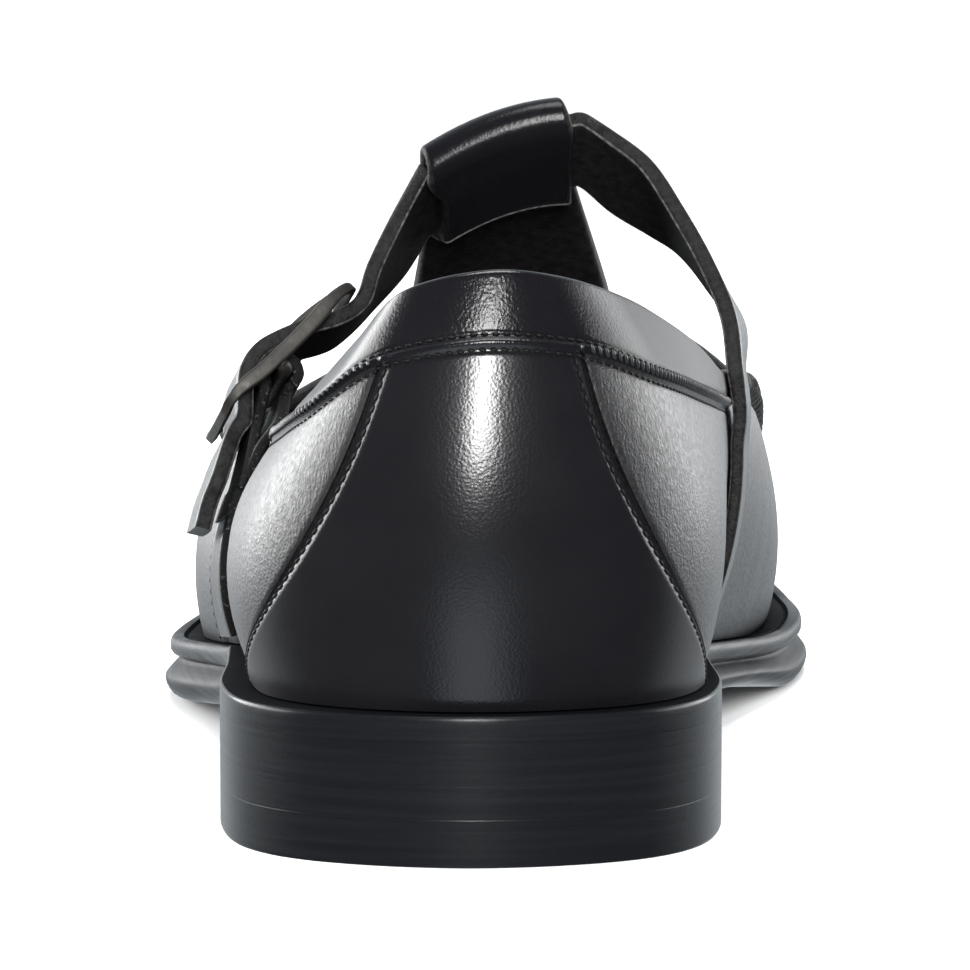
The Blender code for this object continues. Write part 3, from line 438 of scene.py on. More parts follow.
def faded(material, socket, axis, low, high, start, end):
    """A shader value that changes along one axis of the shoe, between two places in millimetres."""
    tree = material.node_tree
    zero = SHOE_ZERO["XYZ".index(axis)]
    spread(tree, axes_of(tree, "Object")[axis], low, high, tree.nodes["Principled BSDF"].inputs[socket],
           start * MM + zero, end * MM + zero)


leathers = {name: dressed(name, *values) for name, values in LEATHERS.items()}
for name, *values in FADES:
    faded(leathers[name], *values)
counter_leather, quarter_leather, collar_leather, tbar_leather, strap_leather = leathers.values()
print("leathers:", list(leathers))

# %% Lining, cut edges and thread
def fibrous(name, dark, light, roughness, scale, depth, start=0.35, end=0.65, shine=0.15):
    """Matt leather fibre."""
    material, tree, shader = shader_of(name, dark, roughness, Specular_IOR_Level=shine)
    tones(tree, noise(tree, scale, 6.0), dark, light, shader.inputs["Base Color"], start, end)
    bumps(tree, shader, [(noise(tree, scale * 2.0, 5.0), depth, 0.6)])
    return material


def grey(value):
    """A neutral colour."""
    return (value, value, value)


lining = fibrous("lining", (0.004, 0.0035, 0.004), (0.010, 0.009, 0.010), 0.62, 700.0, 0.0003)
cut_edge = fibrous("cut_edge", grey(0.002), (0.009, 0.0085, 0.0085), 0.6, 1100.0, 0.0003)
# painted highlight: a lighter grey for thin lines along strap edges and on the T-bar's sewn end
painted_edge_highlight = fibrous("painted_edge_highlight", (0.02, 0.019, 0.019), (0.09, 0.085, 0.083), 0.6, 1100.0, 0.0002)
# painted shade: a near-black matt finish for the counter seam's groove, standing in for the shadow in it
seam_shade_painted = fibrous("seam_shade_painted", grey(0.001), grey(0.004), 0.8, 1500.0, 0.0003, shine=0.03)
dusty_edge = fibrous("dusty_edge", grey(0.0015), grey(0.05), 0.7, 1600.0, 0.0003, 0.6, 0.72)
thread = fibrous("waxed_thread", grey(0.002), grey(0.006), 0.5, 2500.0, 0.0001)
print("matt finishes:", [m.name for m in (lining, cut_edge, painted_edge_highlight, seam_shade_painted, dusty_edge, thread)])

# %% Trimmed sole edge
INK, INK_DARK, INK_LIGHT = (0.006, 0.007, 0.009), (0.004, 0.0045, 0.0055), (0.006, 0.0068, 0.008)


def trimmed(name, roughness, shine, lines):
    """Black edge ink over leather or rubber, with the wheel's fine lines round it."""
    material, tree, shader = shader_of(name, INK, roughness, Specular_IOR_Level=shine)
    tones(tree, noise(tree, 500.0, 5.0, (0.06, 0.06, 2.4)), INK_DARK, INK_LIGHT,
          shader.inputs["Base Color"], 0.4, 0.75)
    spread(tree, noise(tree, 700.0, 4.0, (0.05, 0.05, 2.0)), roughness - 0.06 * lines,
           roughness + 0.10 * lines, shader.inputs["Roughness"])
    bumps(tree, shader, [
        (noise(tree, 900.0, 4.0, (0.03, 0.03, 1.6)), 0.00025, 0.2 * lines),
        (noise(tree, 1500.0, 3.0), 0.00015, 0.12),
    ])
    return material


heel_ink = trimmed("heel_stack", 0.28, 0.12, 0.25)
sole_ink = trimmed("sole_edge", 0.46, 0.13, 0.8)
welt_ink = trimmed("welt_leather", 0.40, 0.20, 1.0)
# painted shade: the welt's top face, matt and without shine, standing in for the shadow on the ledge
welt_top_painted_shade = trimmed("welt_top_painted_shade", 0.65, 0.01, 1.0)
print("sole edges:", [m.name for m in (heel_ink, sole_ink, welt_ink, welt_top_painted_shade)])

# %% Dark metal
METAL, METAL_DARK, METAL_LIGHT = (0.2, 0.19, 0.17), (0.013, 0.0115, 0.010), (0.029, 0.0265, 0.023)
gunmetal, metal_tree, metal = shader_of("gunmetal", METAL, 0.5, Metallic=0.5)
tones(metal_tree, noise(metal_tree, 260.0, 6.0), METAL_DARK, METAL_LIGHT, metal.inputs["Base Color"])
spread(metal_tree, noise(metal_tree, 900.0, 4.0), 0.44, 0.6, metal.inputs["Roughness"])
bumps(metal_tree, metal, [(noise(metal_tree, 1300.0, 5.0), 0.00012, 0.35)])
print("metal:", gunmetal.name)

# %% [markdown]
# ## Outsole, welt and heel
# The sole's layers are cemented, trimmed flush round the heel and stepped round the forefoot, where the
# outsole keeps a flared rib and the welt a groove along its top. On the heel the layers show only as
# faint lines. Each layer is a stack of rings round the same outline, so the joints follow it exactly.

# %% Outsole
SOLE_PLACES = np.linspace(0.0, TURN, 392, endpoint=False)
WELT_THICKNESS = 3.5
LAYER_GAP = 0.02
HEEL_BREAST_Y = 74.0
STEPPED_ROWS = np.array([(0.0, 0.0), (70.0, 0.0), (118.0, 1.0), (298.0, 1.0)])  # y, share


def forefoot_share(y):
    """0 on the heel, where every layer is flush, rising to 1 on the forefoot's stepped edge."""
    return through(STEPPED_ROWS[:, 0], STEPPED_ROWS[:, 1], y)


def behind(limit, points, faces):
    """1 for the faces behind a place along the shoe, else 0."""
    return np.array([int(points[face[0]][1] < limit) for face in faces])


def stack(rings):
    """Closed solid of rings on top of each other, with ladder-like ends."""
    rings = np.asarray(rings)
    count, numbers = rings.shape[1], numbered(rings)
    faces = quads(numbers, closed=True).tolist()
    for ring in (numbers[0], numbers[-1]):
        for i in range(count // 2):
            faces.append([ring[i], ring[i + 1], ring[(count - i - 1) % count], ring[(count - i) % count]])
    return rings.reshape(-1, 3), faces


OUTSOLE_PROFILE = [  # share of the thickness, step out on the forefoot, step out on the heel
    (0.0, -1.3, -0.006), (0.03, -0.9, 0.0), (0.10, -0.2, 0.0), (0.2, 0.35, 0.0), (0.32, 0.8, 0.0),
    (0.45, 1.0, 0.0), (0.55, 0.9, 0.0), (0.66, 0.35, 0.0), (0.78, -0.4, 0.0), (0.88, -1.2, 0.0),
    (0.97, -1.7, 0.0), (1.0, -1.7, -0.006)]
outline = round_loop(SOLE_LOOP, SOLE_PLACES)
sole_out = outward(SOLE_LOOP, SOLE_PLACES)
share = forefoot_share(outline[:, 1])[:, None]
low = underside_z(outline[:, 0], outline[:, 1])
high = ledge_z(outline[:, 1]) - WELT_THICKNESS - LAYER_GAP
rings = []
for part, step, flush in OUTSOLE_PROFILE:
    edge = outline + sole_out * (flush + (step - flush) * share)
    rings.append(np.column_stack([edge, low + (high - low) * part]))
points, faces = stack(rings)
kinds = behind(HEEL_BREAST_Y, points, faces)
outsole = make_piece("outsole_edge", points, faces, [sole_ink, heel_ink], kinds)
hand_over(outsole, "outsole")

# %% Welt
WELT_PROFILE = [  # drop below the ledge, step out on the forefoot, step out on the heel
    (3.5, -1.7, -0.006), (3.35, -1.3, 0.0), (2.9, -0.4, 0.0), (2.3, 0.05, 0.0), (1.2, 0.1, 0.0),
    (0.6, -0.05, 0.0), (0.25, -0.3, -0.05), (0.08, -0.6, -0.16), (0.0, -0.95, -0.35)]
GROOVE = [(0.34, 0.0), (0.37, 0.18), (0.41, 0.5), (0.45, 0.5), (0.49, 0.18), (0.52, 0.0)]
UNDER_UPPER = 5.0
# the welt's top face behind this place, and its groove before it, take painted shade
DARK_TOP_END = 112.0  # behind it the whole top face is dark, before it only inside the groove
feather = round_loop(FEATHER_LOOP, SOLE_PLACES)
inner = feather - UNDER_UPPER * outward(FEATHER_LOOP, SOLE_PLACES)


def welt_line(plan, drop):
    """A line of the welt all round the shoe, a drop below its top face."""
    return np.column_stack([plan, ledge_z(plan[:, 1]) - drop])


lines = [welt_line(outline + sole_out * (flush + (step - flush) * share), drop)
         for drop, step, flush in WELT_PROFILE]
lines += [welt_line(outline + (feather - outline) * way, depth * share[:, 0]) for way, depth in GROOVE]
lines += [welt_line(feather, 0.0), welt_line(inner, 0.0), welt_line(inner, WELT_THICKNESS)]
section = np.stack(lines, axis=1)
numbers = numbered(section)
faces = quads(np.vstack([numbers, numbers[:1]]), closed=True)
points = section.reshape(-1, 3)
kinds = behind(HEEL_BREAST_Y, points, faces)
line_of_face = np.arange(len(faces)) % section.shape[1]
# index 2 is the painted shade of the welt's top face
kinds[line_of_face >= len(WELT_PROFILE) - behind(DARK_TOP_END, points, faces)] = 2
welt = make_piece("welt_strip", points, faces, [welt_ink, heel_ink, welt_top_painted_shade], kinds, sharp=50.0)
hand_over(welt, "welt")

# %% Heel block
HEEL_TOP = 11.28
BREAST_HOLLOW = 3.0
HEEL_PROFILE = [  # height, step in
    (0.0, 0.2), (0.08, 0.1), (0.25, 0.03), (0.45, 0.0), (0.7, 0.0), (6.4, 0.0), (6.52, 0.0), (6.58, 0.02),
    (6.64, 0.02), (6.7, 0.0), (6.82, 0.0), (11.0, 0.0), (11.16, 0.0), (HEEL_TOP, 0.006)]
search = np.arange(3.0, 6.0, 0.01)
breast_place = search[np.argmax(round_loop(SOLE_LOOP, search)[:, 1] > HEEL_BREAST_Y)]
heel_places = np.linspace(-breast_place, breast_place, 181)
heel_outline = round_loop(SOLE_LOOP, heel_places)
heel_out = outward(SOLE_LOOP, heel_places)
across = np.linspace(1.0, -1.0, 43)[1:-1, None]
rings = []
for height, step_in in HEEL_PROFILE:
    edge = heel_outline - heel_out * step_in
    breast = edge[0] + (edge[-1] - edge[0]) * (across + 1.0) / 2.0
    breast[:, 1] -= BREAST_HOLLOW * (1.0 - across[:, 0] ** 2) - step_in * 0.5
    ring = np.vstack([edge, breast])
    rings.append(np.column_stack([ring, np.full(len(ring), height)]))
rings = np.array(rings)
heel = make_piece("heel_layers", rings.reshape(-1, 3), capped(numbered(rings)), [heel_ink], sharp=50.0)
hand_over(heel, "heel_block")

# %% Insole
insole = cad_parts["insole"]
insole.data.materials.clear()
insole.data.materials.append(lining)
print("insole kept from the solids:", len(insole.data.polygons), "faces")

# %% [markdown]
# ## The upper
# The real upper is closed flat from several pieces: counter, quarters, collar band, vamp and strips. They
# overlap by a leather's thickness, so the outside steps at each seam, and a piped roll runs between the
# two stitch rows under the collar band. Here it is one wall on a fine net whose lines run along the
# seams. A lift over the net makes the steps, the roll, the gathers and the creases, and dents in the
# lift make the lines where thread pulls the leather in.

# %% Net of the wall
NEAR_SEAM = np.array([-0.22, -0.17, -0.13, -0.10, -0.08, -0.06, -0.042, -0.025, -0.01,
                      0.006, 0.022, 0.04, 0.065, 0.10, 0.15, 0.22])
QUARTER_FRONT = 4.9
EDGE_STEPS = np.array([0.0, 0.008, 0.02, 0.036, 0.06])


def fixed_rows():
    """Rows from the strap's seat to the toe tip, closest at every cut edge."""
    rows = list(np.linspace(QUARTER_FRONT, 5.9, 12)[1:]) + [5.93, 5.955, 5.975, 6.0, 6.03, 6.07]
    rows += list(np.arange(6.11, STRIPS[0][0] - 0.02, 0.04))
    for number, (start, end) in enumerate(STRIPS):
        after = STRIPS[number + 1][0] if number + 1 < len(STRIPS) else TOE_CAP
        rows += list(start + EDGE_STEPS) + list(np.linspace(start + 0.06, end - 0.06, 12)[1:-1])
        rows += list(end - EDGE_STEPS[::-1]) + list(np.linspace(end, after, 9)[1:-1])
    rows += list(TOE_CAP + EDGE_STEPS) + list(np.arange(TOE_CAP + 0.1, 13.55, 0.065))
    return np.array(rows + list(np.linspace(13.58, LAST_ROW, 9)))


FIXED = fixed_rows()
counter_way = np.linspace(0.0, 1.0, 27)[:-1]
quarter_way = np.linspace(0.0, 1.0, 37)[1:]
# a row of the net is: own row + share of the counter seam's row at that level
OWN_ROW = np.concatenate([counter_way * NEAR_SEAM[0], NEAR_SEAM,
                          NEAR_SEAM[-1] * (1.0 - quarter_way) + QUARTER_FRONT * quarter_way, FIXED])
SEAM_SHARE = np.concatenate([counter_way, np.ones(len(NEAR_SEAM)), 1.0 - quarter_way, np.zeros(len(FIXED))])
FIRST_FIXED = len(OWN_ROW) - len(FIXED)
VAMP_COLUMN = FIRST_FIXED + int(np.searchsorted(FIXED, VAMP_EDGE - 0.03))
FRONT_COLUMN = FIRST_FIXED + int(np.searchsorted(FIXED, STRIPS[0][0] - 0.001))

SEAM_REACH = 2.6
REACH_START, REACH_FULL, REACH_LEAST = 1.7, 4.5, 0.3  # band heights with no reach and with all, least share
SEAM_STEPS = np.array([2.6, 2.1, 1.75, 1.5, 1.25, 1.0, 0.8, 0.5, 0.2, -0.2, -0.5, -0.8, -1.0, -1.25, -1.5,
                       -1.75, -2.1])
COUNTER_COLUMNS = len(counter_way) + int(np.searchsorted(NEAR_SEAM, 0.0))
GROOVE_COLUMNS = 3
RIM_FACES = 3
RIM = 1.5
below = np.linspace(1.0, 0.0, 27)[:-1]
inside = np.array([1.0, 0.75, 0.5, 0.25])
# millimetres below the top edge: own drop, shares of the band's height, of the seam's reach, of the wall
DROPS = np.vstack(
    [np.column_stack([0.0 * below, 1.0 - below, SEAM_REACH * (1.0 - below), below]),
     np.column_stack([0.0 * SEAM_STEPS, 0.0 * SEAM_STEPS + 1.0, SEAM_STEPS, 0.0 * SEAM_STEPS]),
     np.column_stack([RIM * (1.0 - inside), inside, -SEAM_REACH * inside, 0.0 * inside]),
     [(RIM, 0, 0, 0), (1.05, 0, 0, 0), (0.7, 0, 0, 0), (0.4, 0, 0, 0), (0.15, 0, 0, 0), (0.0, 0, 0, 0)]])
UNDER_ROLL = len(below) + int(np.sum(SEAM_STEPS > 0.6))


def drop_and_level(rows, side):
    """Millimetres below the top edge, and level, of the net's points at these rows."""
    band, height = band_height(rows), wall_height(place(rows, side))
    reach = np.clip((band - REACH_START) / (REACH_FULL - REACH_START), REACH_LEAST, 1.0)
    drop = DROPS[:, 0] + DROPS[:, 1] * band + DROPS[:, 2] * reach + DROPS[:, 3] * height
    return drop, 1.0 - drop / height


def net(side):
    """Rows, drops and levels of every point of one side's net."""
    rows = (OWN_ROW + SEAM_SHARE * counter_seam(0.5))[:, None]
    for _ in range(3):
        drop, level = drop_and_level(rows, side)
        rows = OWN_ROW[:, None] + SEAM_SHARE[:, None] * counter_seam(level)
    return rows, *drop_and_level(rows, side)


print("net of one side:", len(OWN_ROW), "rows,", len(DROPS), "levels")

# %% Lifts of the wall
COUNTER_STEP, BAND_STEP, VAMP_STEP = 0.9, 0.6, 0.6
ROLL_HEIGHT, ROLL_HALF = 0.6, 0.62
ROLL_WRINKLE, WRINKLE_PITCH, WRINKLE_ROWS = 0.10, 1.3, (1.0, 2.5)
GATHER_HEIGHT, GATHER_PITCH = 1.9, 5.6
STITCH_OFFSET = 1.1
COUNTER_EDGE = (-0.4, 0.5)  # millimetres over which the counter's edge rises
# dents are: place in millimetres, half width, depth
COUNTER_DENTS = [(1.3, 0.5, 0.25), (-0.75, 0.45, 0.3)]
STITCH_DENTS = [(STITCH_OFFSET, 0.4, 0.22), (-STITCH_OFFSET, 0.4, 0.22)]
PULL_DENT, PULL_RATE, PULL_ROWS = (-2.0, 1.3, 0.10), 2.4, (2.2, 3.2)
GATHER_SEAM_DENT, GATHER_PULL_DENT = (0.3, 0.7, 0.45), (1.6, 2.2, 0.3)
EDGE_ROUND = 1.0
WALL = 2.0
CREASES = [  # side, row, level, half length, half width, depth, slant in degrees from level
    (1, 3.6, 0.62, 16.0, 3.4, 0.10, 12.0), (1, 4.1, 0.45, 14.0, 3.0, 0.10, 28.0),
    (-1, 3.9, 0.66, 15.0, 3.0, 0.14, -24.0), (-1, 4.4, 0.55, 14.0, 2.6, 0.16, -34.0),
    (-1, 3.5, 0.48, 13.0, 3.0, 0.10, -18.0), (1, 6.9, 0.5, 17.0, 3.2, 0.16, 74.0),
    (1, 7.3, 0.45, 15.0, 2.8, 0.14, 82.0), (-1, 6.9, 0.5, 15.0, 3.2, 0.16, -76.0),
    (-1, 7.3, 0.45, 14.0, 2.8, 0.14, -84.0)]


def rounded(distance, radius=EDGE_ROUND):
    """Millimetres that a rounded edge falls off at a distance from the cut."""
    t = np.clip(1.0 - distance / radius, 0.0, 1.0)
    return radius * (1.0 - np.sqrt(1.0 - t * t))


def hill(distance, half_width):
    """Soft ridge of height 1."""
    return np.exp(-((distance / half_width) ** 2))


def dent(distance, at, half_width, depth):
    """Soft groove at a place."""
    return depth * hill(distance - at, half_width)


ROW_NUDGE = 0.03


def row_length(rows, side, level):
    """Millimetres of one row along the wall."""
    q = place(rows, side)
    way = wall_point(q + ROW_NUDGE, level) - wall_point(q - ROW_NUDGE, level)
    return np.linalg.norm(way, axis=-1) / (2.0 * ROW_NUDGE)


def rim_length(rows, side):
    """Millimetres along the top edge from the heel to these rows."""
    fine = np.linspace(0.0, LAST_ROW, 1500)
    steps = np.linalg.norm(np.diff(wall_point(place(fine, side), 1.0), axis=0), axis=-1)
    return np.interp(rows, fine, np.concatenate([[0.0], np.cumsum(steps)]))


def wall_lift(rows, drop, level, side):
    """Lift of the outside and depth of the inside at every point of one side's net."""
    band = band_height(rows)
    size = row_length(rows, side, level)
    inside_counter = (counter_seam(level) - rows) * size
    run = rim_length(rows, side)
    from_band = drop - band
    under_band = smooth_step(-0.5, 0.5, from_band)
    counter = COUNTER_STEP * smooth_step(*COUNTER_EDGE, inside_counter)
    counter -= sum(dent(inside_counter, *values) for values in COUNTER_DENTS)
    back = BAND_STEP + (counter - BAND_STEP) * under_band
    wrinkle = ROLL_WRINKLE * np.sin(2.0 * np.pi * run / WRINKLE_PITCH) * smooth_step(*WRINKLE_ROWS, rows)
    back += (ROLL_HEIGHT + wrinkle) * hill(from_band, ROLL_HALF)
    back -= sum(dent(from_band, *values) for values in STITCH_DENTS)
    pulled = (1.0 + np.sin(run * PULL_RATE)) * smooth_step(*PULL_ROWS, rows)
    back -= pulled * dent(from_band, *PULL_DENT)
    back -= rounded(drop)
    wave = np.cos(2.0 * np.pi * run / GATHER_PITCH)
    roll = 1.0 - np.clip(np.abs(drop - band / 2.0) / (band / 2.0 + 0.3), 0.0, 1.0) ** 3
    front = VAMP_STEP + GATHER_HEIGHT * (0.5 + 0.5 * wave) * roll - dent(from_band, *GATHER_SEAM_DENT)
    front -= (1.0 - wave) * dent(from_band, *GATHER_PULL_DENT)
    on_vamp = smooth_step(VAMP_EDGE - 0.035, VAMP_EDGE - 0.005, rows)
    lift = back + (front - back) * on_vamp
    for crease_side, row, at, half_long, half_wide, depth, slant in CREASES:
        if crease_side == side:
            x, y = (rows - row) * size, (level - at) * wall_height(place(rows, side))
            c, s = math.cos(math.radians(slant)), math.sin(math.radians(slant))
            lift -= depth * hill(x * c + y * s, half_long) * hill(y * c - x * s, half_wide)
    return lift, WALL - rounded(drop) * (1.0 - on_vamp)


print("creases:", len(CREASES), "gathers a side:", int(rim_length(13.0, 1) / GATHER_PITCH))

# %% [markdown]
# ## Strips, T-bar and toe
# On the real shoe the vamp is slit into strips that pass over and under the T-bar. The net over the
# forefoot keeps only the cells of the strips, of the T-bar and of the closed toe. A strip that crosses
# over the T-bar rises softly over it, and the others go under its sharper edges.

# %% Net of the forefoot
STRIP_STEP, TBAR_STEP, OVER_TBAR_STEP = 0.9, 1.5, 2.2
STRIP_OVER_TBAR = 1
STRIP_BOW = 5.0
FOREFOOT_ROUND = 0.6
CROWN_POWER, PEAK_RANGE, BOW_FADE_ROWS = 2.2, (0.2, 0.8), 3.0
BAR_EDGES = np.array([(160.0, 0.33, 0.74), (240.0, 0.40, 0.68)])  # y, place of the edges across
EDGE_ROOM = 0.0005
SIDE_WAY = np.array([0.0, 0.06, 0.14, 0.24, 0.34, 0.45, 0.56, 0.67, 0.78, 0.87, 0.93, 0.965])
BAR_WAY = np.array([0.0, 0.006, 0.015, 0.028, 0.05, 0.1, 0.18, 0.27, 0.36, 0.45])
BAR_WAY = np.concatenate([BAR_WAY, [0.5], 1.0 - BAR_WAY[::-1]])
BAR_FIRST = len(SIDE_WAY)
BAR_LAST = BAR_FIRST + len(BAR_WAY) - 1


def bar_edges(rows):
    """Places of the T-bar's two edges across the forefoot."""
    y = wall_point(rows, 1.0)[..., 1]
    return [through(BAR_EDGES[:, 0], edge, y) for edge in BAR_EDGES[:, 1:].T]


def across_places(rows):
    """Places across the forefoot from lateral to medial, for every row."""
    left, right = (v[:, None] for v in bar_edges(rows))
    return np.hstack([left * SIDE_WAY, left + (right - left) * BAR_WAY,
                      1.0 - (1.0 - right) * SIDE_WAY[::-1]])


def forefoot_point(rows, w):
    """Points over the forefoot, from the lateral seam (w = 0) to the medial one (w = 1)."""
    lateral, medial = wall_point(-rows, 1.0), wall_point(rows, 1.0)
    chord = lateral[:, None] + (medial - lateral)[:, None] * w[..., None]
    ridge_z = through(RIDGE_ROWS[:, 0], RIDGE_ROWS[:, 1], chord[..., 1])
    ridge_x = through(RIDGE_ROWS[:, 0], RIDGE_ROWS[:, 2], chord[..., 1])
    span = np.maximum(medial[:, 0] - lateral[:, 0], 0.001)[:, None]
    peak = np.clip((ridge_x - lateral[:, :1]) / span, *PEAK_RANGE)
    skewed = w ** (np.log(0.5) / np.log(peak))
    crown = 1.0 - np.abs(2.0 * skewed - 1.0) ** CROWN_POWER
    fade = np.minimum(1.0, (LAST_ROW - rows) / BOW_FADE_ROWS)[:, None]
    lift = ridge_z - (lateral[:, 2:] + (medial[:, 2:] - lateral[:, 2:]) * peak)
    moved = np.stack([0.0 * w, -STRIP_BOW * fade * 4.0 * w * (1.0 - w), lift * crown], axis=-1)
    return chord + moved


def strip_of(row):
    """Number of the strip at a row, or -1 in a gap and on the toe."""
    for number, (start, end) in enumerate(STRIPS):
        if start - EDGE_ROOM <= row <= end + EDGE_ROOM:
            return number
    return -1


def forefoot_lift(rows, w):
    """Lift of the outside and depth of the inside over the forefoot."""
    left, right = (v[:, None] for v in bar_edges(rows))
    span = (wall_point(rows, 1.0) - wall_point(-rows, 1.0))[:, :1]
    size = row_length(rows, 1, 1.0)
    edge = np.full(len(rows), 99.0)
    for start, end in STRIPS:
        on = (rows > start - EDGE_ROOM) & (rows < end + EDGE_ROOM)
        edge = np.where(on, np.minimum(rows - start, end - rows) * size, edge)
    edge = np.where(rows >= TOE_CAP, (rows - TOE_CAP) * size, edge)[:, None]
    over = np.array([strip_of(r) == STRIP_OVER_TBAR for r in rows])[:, None]
    in_bar = np.minimum(w - left, right - w) * span
    on_bar = in_bar >= -0.001
    soft = smooth_step(-3.0, 1.5, in_bar)
    bar = TBAR_STEP - rounded(in_bar)
    strip = STRIP_STEP - rounded(edge)
    lift = np.where(on_bar, bar, strip)
    lift = np.where(over, STRIP_STEP + (OVER_TBAR_STEP - STRIP_STEP) * soft - rounded(edge), lift)
    toe = smooth_step(TOE_CAP, TOE_CAP + 0.25, rows)[:, None]
    lift = lift + (VAMP_STEP - lift) * toe
    depth = WALL - FOREFOOT_ROUND * np.where(on_bar, rounded(in_bar), rounded(edge))
    return lift, depth


print("places across the forefoot:", across_places(np.array([8.0])).shape[1])

# %% [markdown]
# ## The loop of the T-bar
# The T-bar rises from the throat to the instep, folds over the ankle strap and comes back under it, where
# its end is sewn to itself. From behind, the fold catches the light, and the sewn end shows as a thin line:
# a small ridge with a lighter painted highlight on it.

# %% Path of the T-bar
INSTEP_HEIGHT, INSTEP_X, INSTEP_Y = 98.3, 1.4, 111.0
SIDE_SLOPE, INSTEP_SLOPE, INSTEP_CROWN = 0.36, -0.72, 1.6
LOOP_LATERAL, LOOP_MEDIAL, LOOP_TOP_Y = -10.4, 11.6, 112.0
LOOP_INNER = 16.3 + 3.0 * BAR_WAY[:, None]
LEG_TAPER = 2.2
LEG_END, END_RIDGE = [0.95, 0.957, 0.975, 1.0], [0.0, 0.17, 0.17, -0.4]
TBAR_FLARE, FLARE_Y, SHOULDER_Y = 3.0, 131.0, 121.0
STRAP_THICKNESS = 2.6
STRAP_WIDTH = 18.0


def unit(vector):
    """The vector at length 1."""
    vector = np.asarray(vector, float)
    return vector / np.linalg.norm(vector, axis=-1, keepdims=True)


INSTEP_NORMAL = unit([-SIDE_SLOPE, -INSTEP_SLOPE, 1.0])
INSTEP_UP = unit([0.0, -1.0, -INSTEP_SLOPE])


def instep_point(x, y):
    """Points of the T-bar's outer face near its loop."""
    f = 2.0 * (x - LOOP_LATERAL) / (LOOP_MEDIAL - LOOP_LATERAL) - 1.0
    z = INSTEP_HEIGHT + SIDE_SLOPE * (x - INSTEP_X) + INSTEP_SLOPE * (y - INSTEP_Y)
    return np.stack([x, 0.0 * x + y, z + INSTEP_CROWN * (1.0 - f * f)], axis=-1)


def tbar_lines(throat, ahead):
    """Lines across the T-bar from just above the throat, round its loop, to its sewn end."""
    radius = (STRAP_THICKNESS + 2.0 * SEAM_GAP) / 2.0 + WALL
    x = LOOP_LATERAL + (LOOP_MEDIAL - LOOP_LATERAL) * BAR_WAY
    top = instep_point(x, LOOP_TOP_Y)
    flared = instep_point(x + TBAR_FLARE * BAR_WAY**2, FLARE_Y)
    free = [ahead, throat, flared, instep_point(x, SHOULDER_Y), top]
    rise = along(free, np.linspace(1.0, 4.0, 46)[1:])
    angle = np.radians(np.arange(12.0, 181.0, 12.0))[:, None, None]
    fold = top + radius * (np.sin(angle) * INSTEP_UP + (np.cos(angle) - 1.0) * INSTEP_NORMAL)
    leg = np.concatenate([np.linspace(0.0, 1.0, 12)[1:-1], LEG_END])[:, None, None]
    inner_leg = top - 2.0 * radius * INSTEP_NORMAL - LOOP_INNER * leg * INSTEP_UP
    inner_leg[..., 0] += LEG_TAPER * (1.0 - BAR_WAY) * smooth_step(0.0, 0.35, leg[..., 0])
    return np.concatenate([rise, fold, inner_leg])


print("top of the loop:", np.round(instep_point(np.array([1.0]), LOOP_TOP_Y), 1))

# %% [markdown]
# ## One wall
# The nets of both sides, of the forefoot and of the T-bar share their points where they meet, so the
# leather has no open seam. Then the whole net is set out by its lift and in by its depth, and its rims
# are closed. The folded rims of the collar keep the polish, and every other rim is a cut edge.

# %% Net of the whole upper
TBAR_ROUND, TBAR_FADE_LINES, TBAR_EDGE_STRETCH = 0.8, 14.0, 1.3
TBAR_EDGE_CELLS = 3


